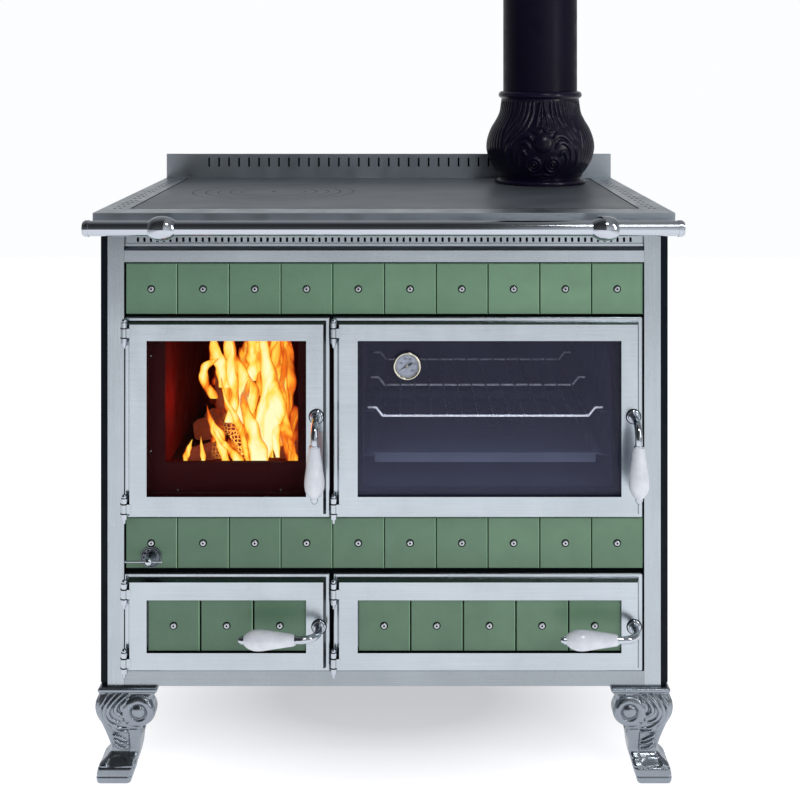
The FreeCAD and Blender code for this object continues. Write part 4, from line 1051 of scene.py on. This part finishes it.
def hob_seam_shade():
    """Painted shade in the gap between the hob plate and its surround."""
    low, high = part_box("hob_plate")
    half = 1.3 * MM
    base, top = HOB_TOP - 2 * MM, HOB_TOP + 0.12 * MM
    heap = Heap()
    for y in (low.y, high.y):
        heap.block((low.x - half, y - half, base), (high.x + half, y + half, top))
    for x in (low.x, high.x):
        heap.block((x - half, low.y + half, base), (x + half, high.y - half, top))
    heap.piece("hob_seam_shade", "painted_shade", smooth=False)


def joint(name):
    return next(row for row in frame["record"]["behaviour"]["joints"] if row["name"] == name)


def hinge_gap_shade():
    """Black rings between the knuckles of every hinge: painted shade in the gaps there."""
    heap = Heap()
    ring = [(2.7, -0.75), (5.9, -0.75), (5.9, 0.75), (2.7, 0.75)]
    for door, below in (("fire_door", 22.7), ("oven_door", 22.7), ("ash_door", 27.8), ("wood_door", 27.8)):
        x, y, _ = joint(door + "_hinge")["pos_m"]
        low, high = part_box(door + "_frame")
        for middle_z in (low.z + 16.8 * MM, high.z - below * MM):
            for side in (-1, 1):
                heap.turned(ring, (x, y, middle_z + side * 7.25 * MM), sides=32)
    heap.piece("hinge_gap_shade", "painted_shade", smooth=False)


def valve_holes():
    """Painted shade: dark discs at three index holes in the rosette of the air valve, and a dark ring in the
    groove round its rim.
    """
    place = middle("air_valve_rosette")
    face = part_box("middle_tile_row")[0].y - 3 * MM
    heap = Heap()
    hole = [(AXIS, -0.5), (1.5, -0.5), (1.5, 0.1), (AXIS, 0.1)]
    away = 10.8 * MM
    for degrees in (112, 146, 180):
        angle = math.radians(degrees)
        spot = (place.x + away * math.cos(angle), face, place.z + away * math.sin(angle))
        heap.turned(hole, spot, FRONT, 16)
    groove = [(13.4, -0.5), (14.4, -0.5), (14.4, 0.08), (13.4, 0.08)]
    heap.turned(groove, (place.x, face, place.z), FRONT, 48)
    heap.piece("air_valve_hole_shade", "painted_shade", smooth=False)


def handle_roses():
    """The turned rose on each door, from which the handle's spindle comes, with a painted shadow: a dark ring
    round it.
    """
    rose = [
        (5.7, 0), (10.4, 0), (10.6, 1.0), (9.6, 2.4), (8.9, 2.5),
        (8.5, 3.4), (7.4, 5.2), (6.2, 6.0), (5.7, 6.0),
    ]
    # a dark ring round the rose: painted shadow
    shadow = [(9.8, -0.5), (11.8, -0.5), (11.8, 0.25), (9.8, 0.25)]
    for name in ("fire", "oven", "ash", "wood"):
        x, _, z = joint(name + "_handle_turn")["pos_m"]
        place = (x, HOB_FRONT + 5 * MM, z)
        for label, profile, material in (("rose", rose, "chrome"), ("rose_shadow_ring", shadow, "painted_shade")):
            heap = Heap()
            heap.turned(profile, place, FRONT, 48)
            heap.piece(name + "_" + label, material, name + "_door")


TILE_ROWS = (
    ("upper_tile_row", "cabinet", 10), ("middle_tile_row", "cabinet", 10),
    ("ash_door_tiles", "ash_door", 3), ("wood_door_tiles", "wood_door", 5),
)


def tile_details():
    """Painted shade: a dark hexagon in each tile screw, a dark ring about its head, and dark strips in the
    gaps between tiles.
    """
    half = TILE_WIDTH / 2
    for node, body, count in TILE_ROWS:
        low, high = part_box(node)
        pitch = (high.x - low.x - TILE_WIDTH) / (count - 1)
        heap = Heap()
        for i in range(count):
            x = low.x + half + i * pitch
            if i:
                # a dark strip in the gap between tiles: painted shade
                start = (x - pitch + half, low.y + 3 * MM, low.z)
                heap.block(start, (x - half, high.y - 0.2 * MM, high.z))
            place = (x, low.y, (low.z + high.z) / 2)
            head_shade_ring = [(4.4, -0.4), (6.0, -0.4), (6.0, 0.12), (4.6, 0.22), (4.4, 0.2)]
            heap.turned(head_shade_ring, place, FRONT, 32)
            socket = [(AXIS, 0.7), (1.75, 0.7), (1.75, 2.34), (AXIS, 2.34)]
            heap.turned(socket, place, FRONT, 6)
        heap.piece(node + "_sockets", "painted_shade", body, smooth=False)


# ---- rounded edges on the sheet metal

EDGE_WIDTHS = {
    "hob_frame": 1.2, "corner_post_left": 0.8, "corner_post_right": 0.8, "plinth_strip": 0.7,
    "side_panel_left": 1.0, "side_panel_right": 1.0, "backsplash": 0.8, "hob_plate": 0.6,
    "fire_door_frame": 0.8, "oven_door_frame": 0.8, "ash_door_frame": 0.8, "wood_door_frame": 0.8,
}


def soften_edges():
    """Rounds the sharp edges of the folded and cast sheet parts, so that they catch the light."""
    for node, width in EDGE_WIDTHS.items():
        bevel = NODES[node].modifiers.new("rounded", "BEVEL")
        bevel.width = width * MM
        bevel.segments = 2
        bevel.limit_method = "ANGLE"
        bevel.angle_limit = math.radians(40)
        bevel.harden_normals = True


# ---- floor, light and camera

FLOOR_REACH = (-6.2, 5.0)
FLOOR_HALF = 7.0
# the lower glow near the stove paints a shadow there
NEAR_GLOW, FAR_GLOW = 0.50, 0.95
MIRROR_GLOW = 0.84


def floor():
    """A level pale floor. It glows a little, so that shadows stay soft, and less to what mirrors it; the glow
    is weaker near the stove, a painted shadow under it.
    """
    front, back = FLOOR_REACH
    corners = [(-FLOOR_HALF, front, 0), (FLOOR_HALF, front, 0), (FLOOR_HALF, back, 0), (-FLOOR_HALF, back, 0)]
    mesh = bpy.data.meshes.new("floor")
    mesh.from_pydata(corners, [], [(0, 1, 2, 3)])
    item = show("floor", mesh)
    tree = new_material("floor_paper", Roughness=0.9, Specular_IOR_Level=0.0)
    cloud = tree.noise(2.0, detail=3)
    base = tree.mix(tree.spread(cloud), (0.34, 0.34, 0.35, 1), (0.36, 0.36, 0.37, 1))
    tree.give("Base Color", base)
    away = tree.distance((0, 0, 0), (2.0, 3.4, 1.0))
    tree.give("Emission Color", (0.98, 0.98, 1.0, 1))
    # weaker glow near the stove: a painted shadow on the floor
    seen = tree.spread(away, NEAR_GLOW, FAR_GLOW, 0.35, 1.05)
    beside = tree.math("ABSOLUTE", tree.along("X"))
    mirrored = tree.math("MULTIPLY", seen, tree.spread(beside, MIRROR_GLOW, 0.3, 1.2, 2.8))
    glossy = tree.add("LightPath").outputs["Is Glossy Ray"]
    tree.give("Emission Strength", tree.blend(glossy, seen, mirrored))
    mesh.materials.append(MATERIALS["floor_paper"])


def lamp(name, kind, place, power, color=(1, 1, 1)):
    data = bpy.data.lights.new(name, kind)
    data.energy = power
    data.color = color
    item = show(name, data)
    item.location = place
    return item


def area_light(name, place, aim, width, height, power, color=(1, 1, 1), glossy=False):
    item = lamp(name, "AREA", place, power, color)
    item.data.shape = "RECTANGLE"
    item.data.size = width
    item.data.size_y = height
    item.rotation_euler = (Vector(aim) - Vector(place)).to_track_quat("-Z", "Y").to_euler()
    item.visible_glossy = glossy
    return item


def studio_lights():
    """Two large soft lights before the object, one over it, and two small ones that only make highlights."""
    area_light("key", (-2.0, -3.6, 2.6), (0, 0, 0.5), 2.4, 1.8, 46)
    area_light("fill", (2.4, -3.4, 2.2), (0, 0, 0.5), 2.2, 1.8, 38)
    area_light("top", (0, 0.8, 3.6), (0, 0.1, 0.6), 3.0, 2.0, 58)
    area_light("sparkle", (0.9, -2.2, 3.2), (0, 0, 0.9), 0.5, 0.5, 12, glossy=True)
    area_light("strip", (1.9, -1.35, 1.5), (0.29, 0.2, 1.0), 0.3, 1.5, 9, glossy=True)


def fire_glow():
    """The light of the fire on its lining."""
    for name, place, power in (("fire_glow", (20, 30, 90), 0.9), ("side_glow", (-78, -8, 100), 0.10)):
        item = lamp(name, "POINT", fire_origin() + np.array(place) * MM, power, (1.0, 0.10, 0.05))
        item.data.shadow_soft_size = 0.03


def oven_light():
    """A weak lamp inside the oven's mouth, so that its shelf reads through the dark glass."""
    center = middle("oven_box")
    place = (center.x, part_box("oven_box")[0].y + 6 * MM, center.z)
    aim = (place[0], place[1] + 1, place[2])
    item = area_light("oven_light", place, aim, 0.36, 0.2, 0.9, (0.9, 0.93, 1.0))
    item.visible_camera = False


def sky():
    """A dim studio surround that is brighter behind the object, and plain white to the camera itself."""
    world = bpy.data.worlds.new("studio")
    scene.world = world
    world.use_nodes = True
    tree = Tree(world.node_tree, world.node_tree.nodes["Background"])
    direction = tree.add("TexCoord").outputs["Generated"]
    parts = tree.add("SeparateXYZ", {"Vector": direction}).outputs
    front = tree.spread(parts["X"], 0.10, 0.7, 0.07, 0.15)
    level = tree.blend(tree.spread(parts["Y"], 0.0, 1.0, -0.3, 0.6), front, 0.75)
    beside = tree.math("ABSOLUTE", parts["X"])
    level = tree.math("MULTIPLY", level, tree.spread(beside, 1.0, 0.55, 0.4, 0.85))
    above = tree.spread(parts["Z"], 1.0, 0.4, 0.12, 0.6)
    level = tree.math("MULTIPLY", level, above)
    seen = tree.add("LightPath").outputs["Is Camera Ray"]
    tree.give("Color", (0.97, 0.985, 1.0, 1))
    tree.give("Strength", tree.blend(seen, level, 1.0))


SENSOR, FOCAL_LENGTH = 36.0, 57.15
CAMERA_SHIFT = (-0.005, -0.419)
CAMERA_SIDE, CAMERA_AWAY, CAMERA_ABOVE = 30.3, 1920, 224


def camera():
    """Stands level before the hob at eye height for a cook, and looks straight ahead."""
    data = bpy.data.cameras.new("camera")
    data.sensor_width = SENSOR
    data.lens = FOCAL_LENGTH
    data.shift_x, data.shift_y = CAMERA_SHIFT
    item = show("camera", data)
    item.location = (CAMERA_SIDE * MM, HOB_FRONT - CAMERA_AWAY * MM, HOB_TOP + CAMERA_ABOVE * MM)
    item.rotation_euler = (math.pi / 2, 0, 0)
    scene.camera = item


legs()
flue_collar()
flames()
logs()
firebox_screws()
dial_and_case()
dial_marks()
needle()
slot_painted_shade()
hob_seam_shade()
hinge_gap_shade()
valve_holes()
handle_roses()
tile_details()
soften_edges()
floor()
studio_lights()
fire_glow()
oven_light()
sky()
camera()
scene.view_settings.view_transform = "Standard"
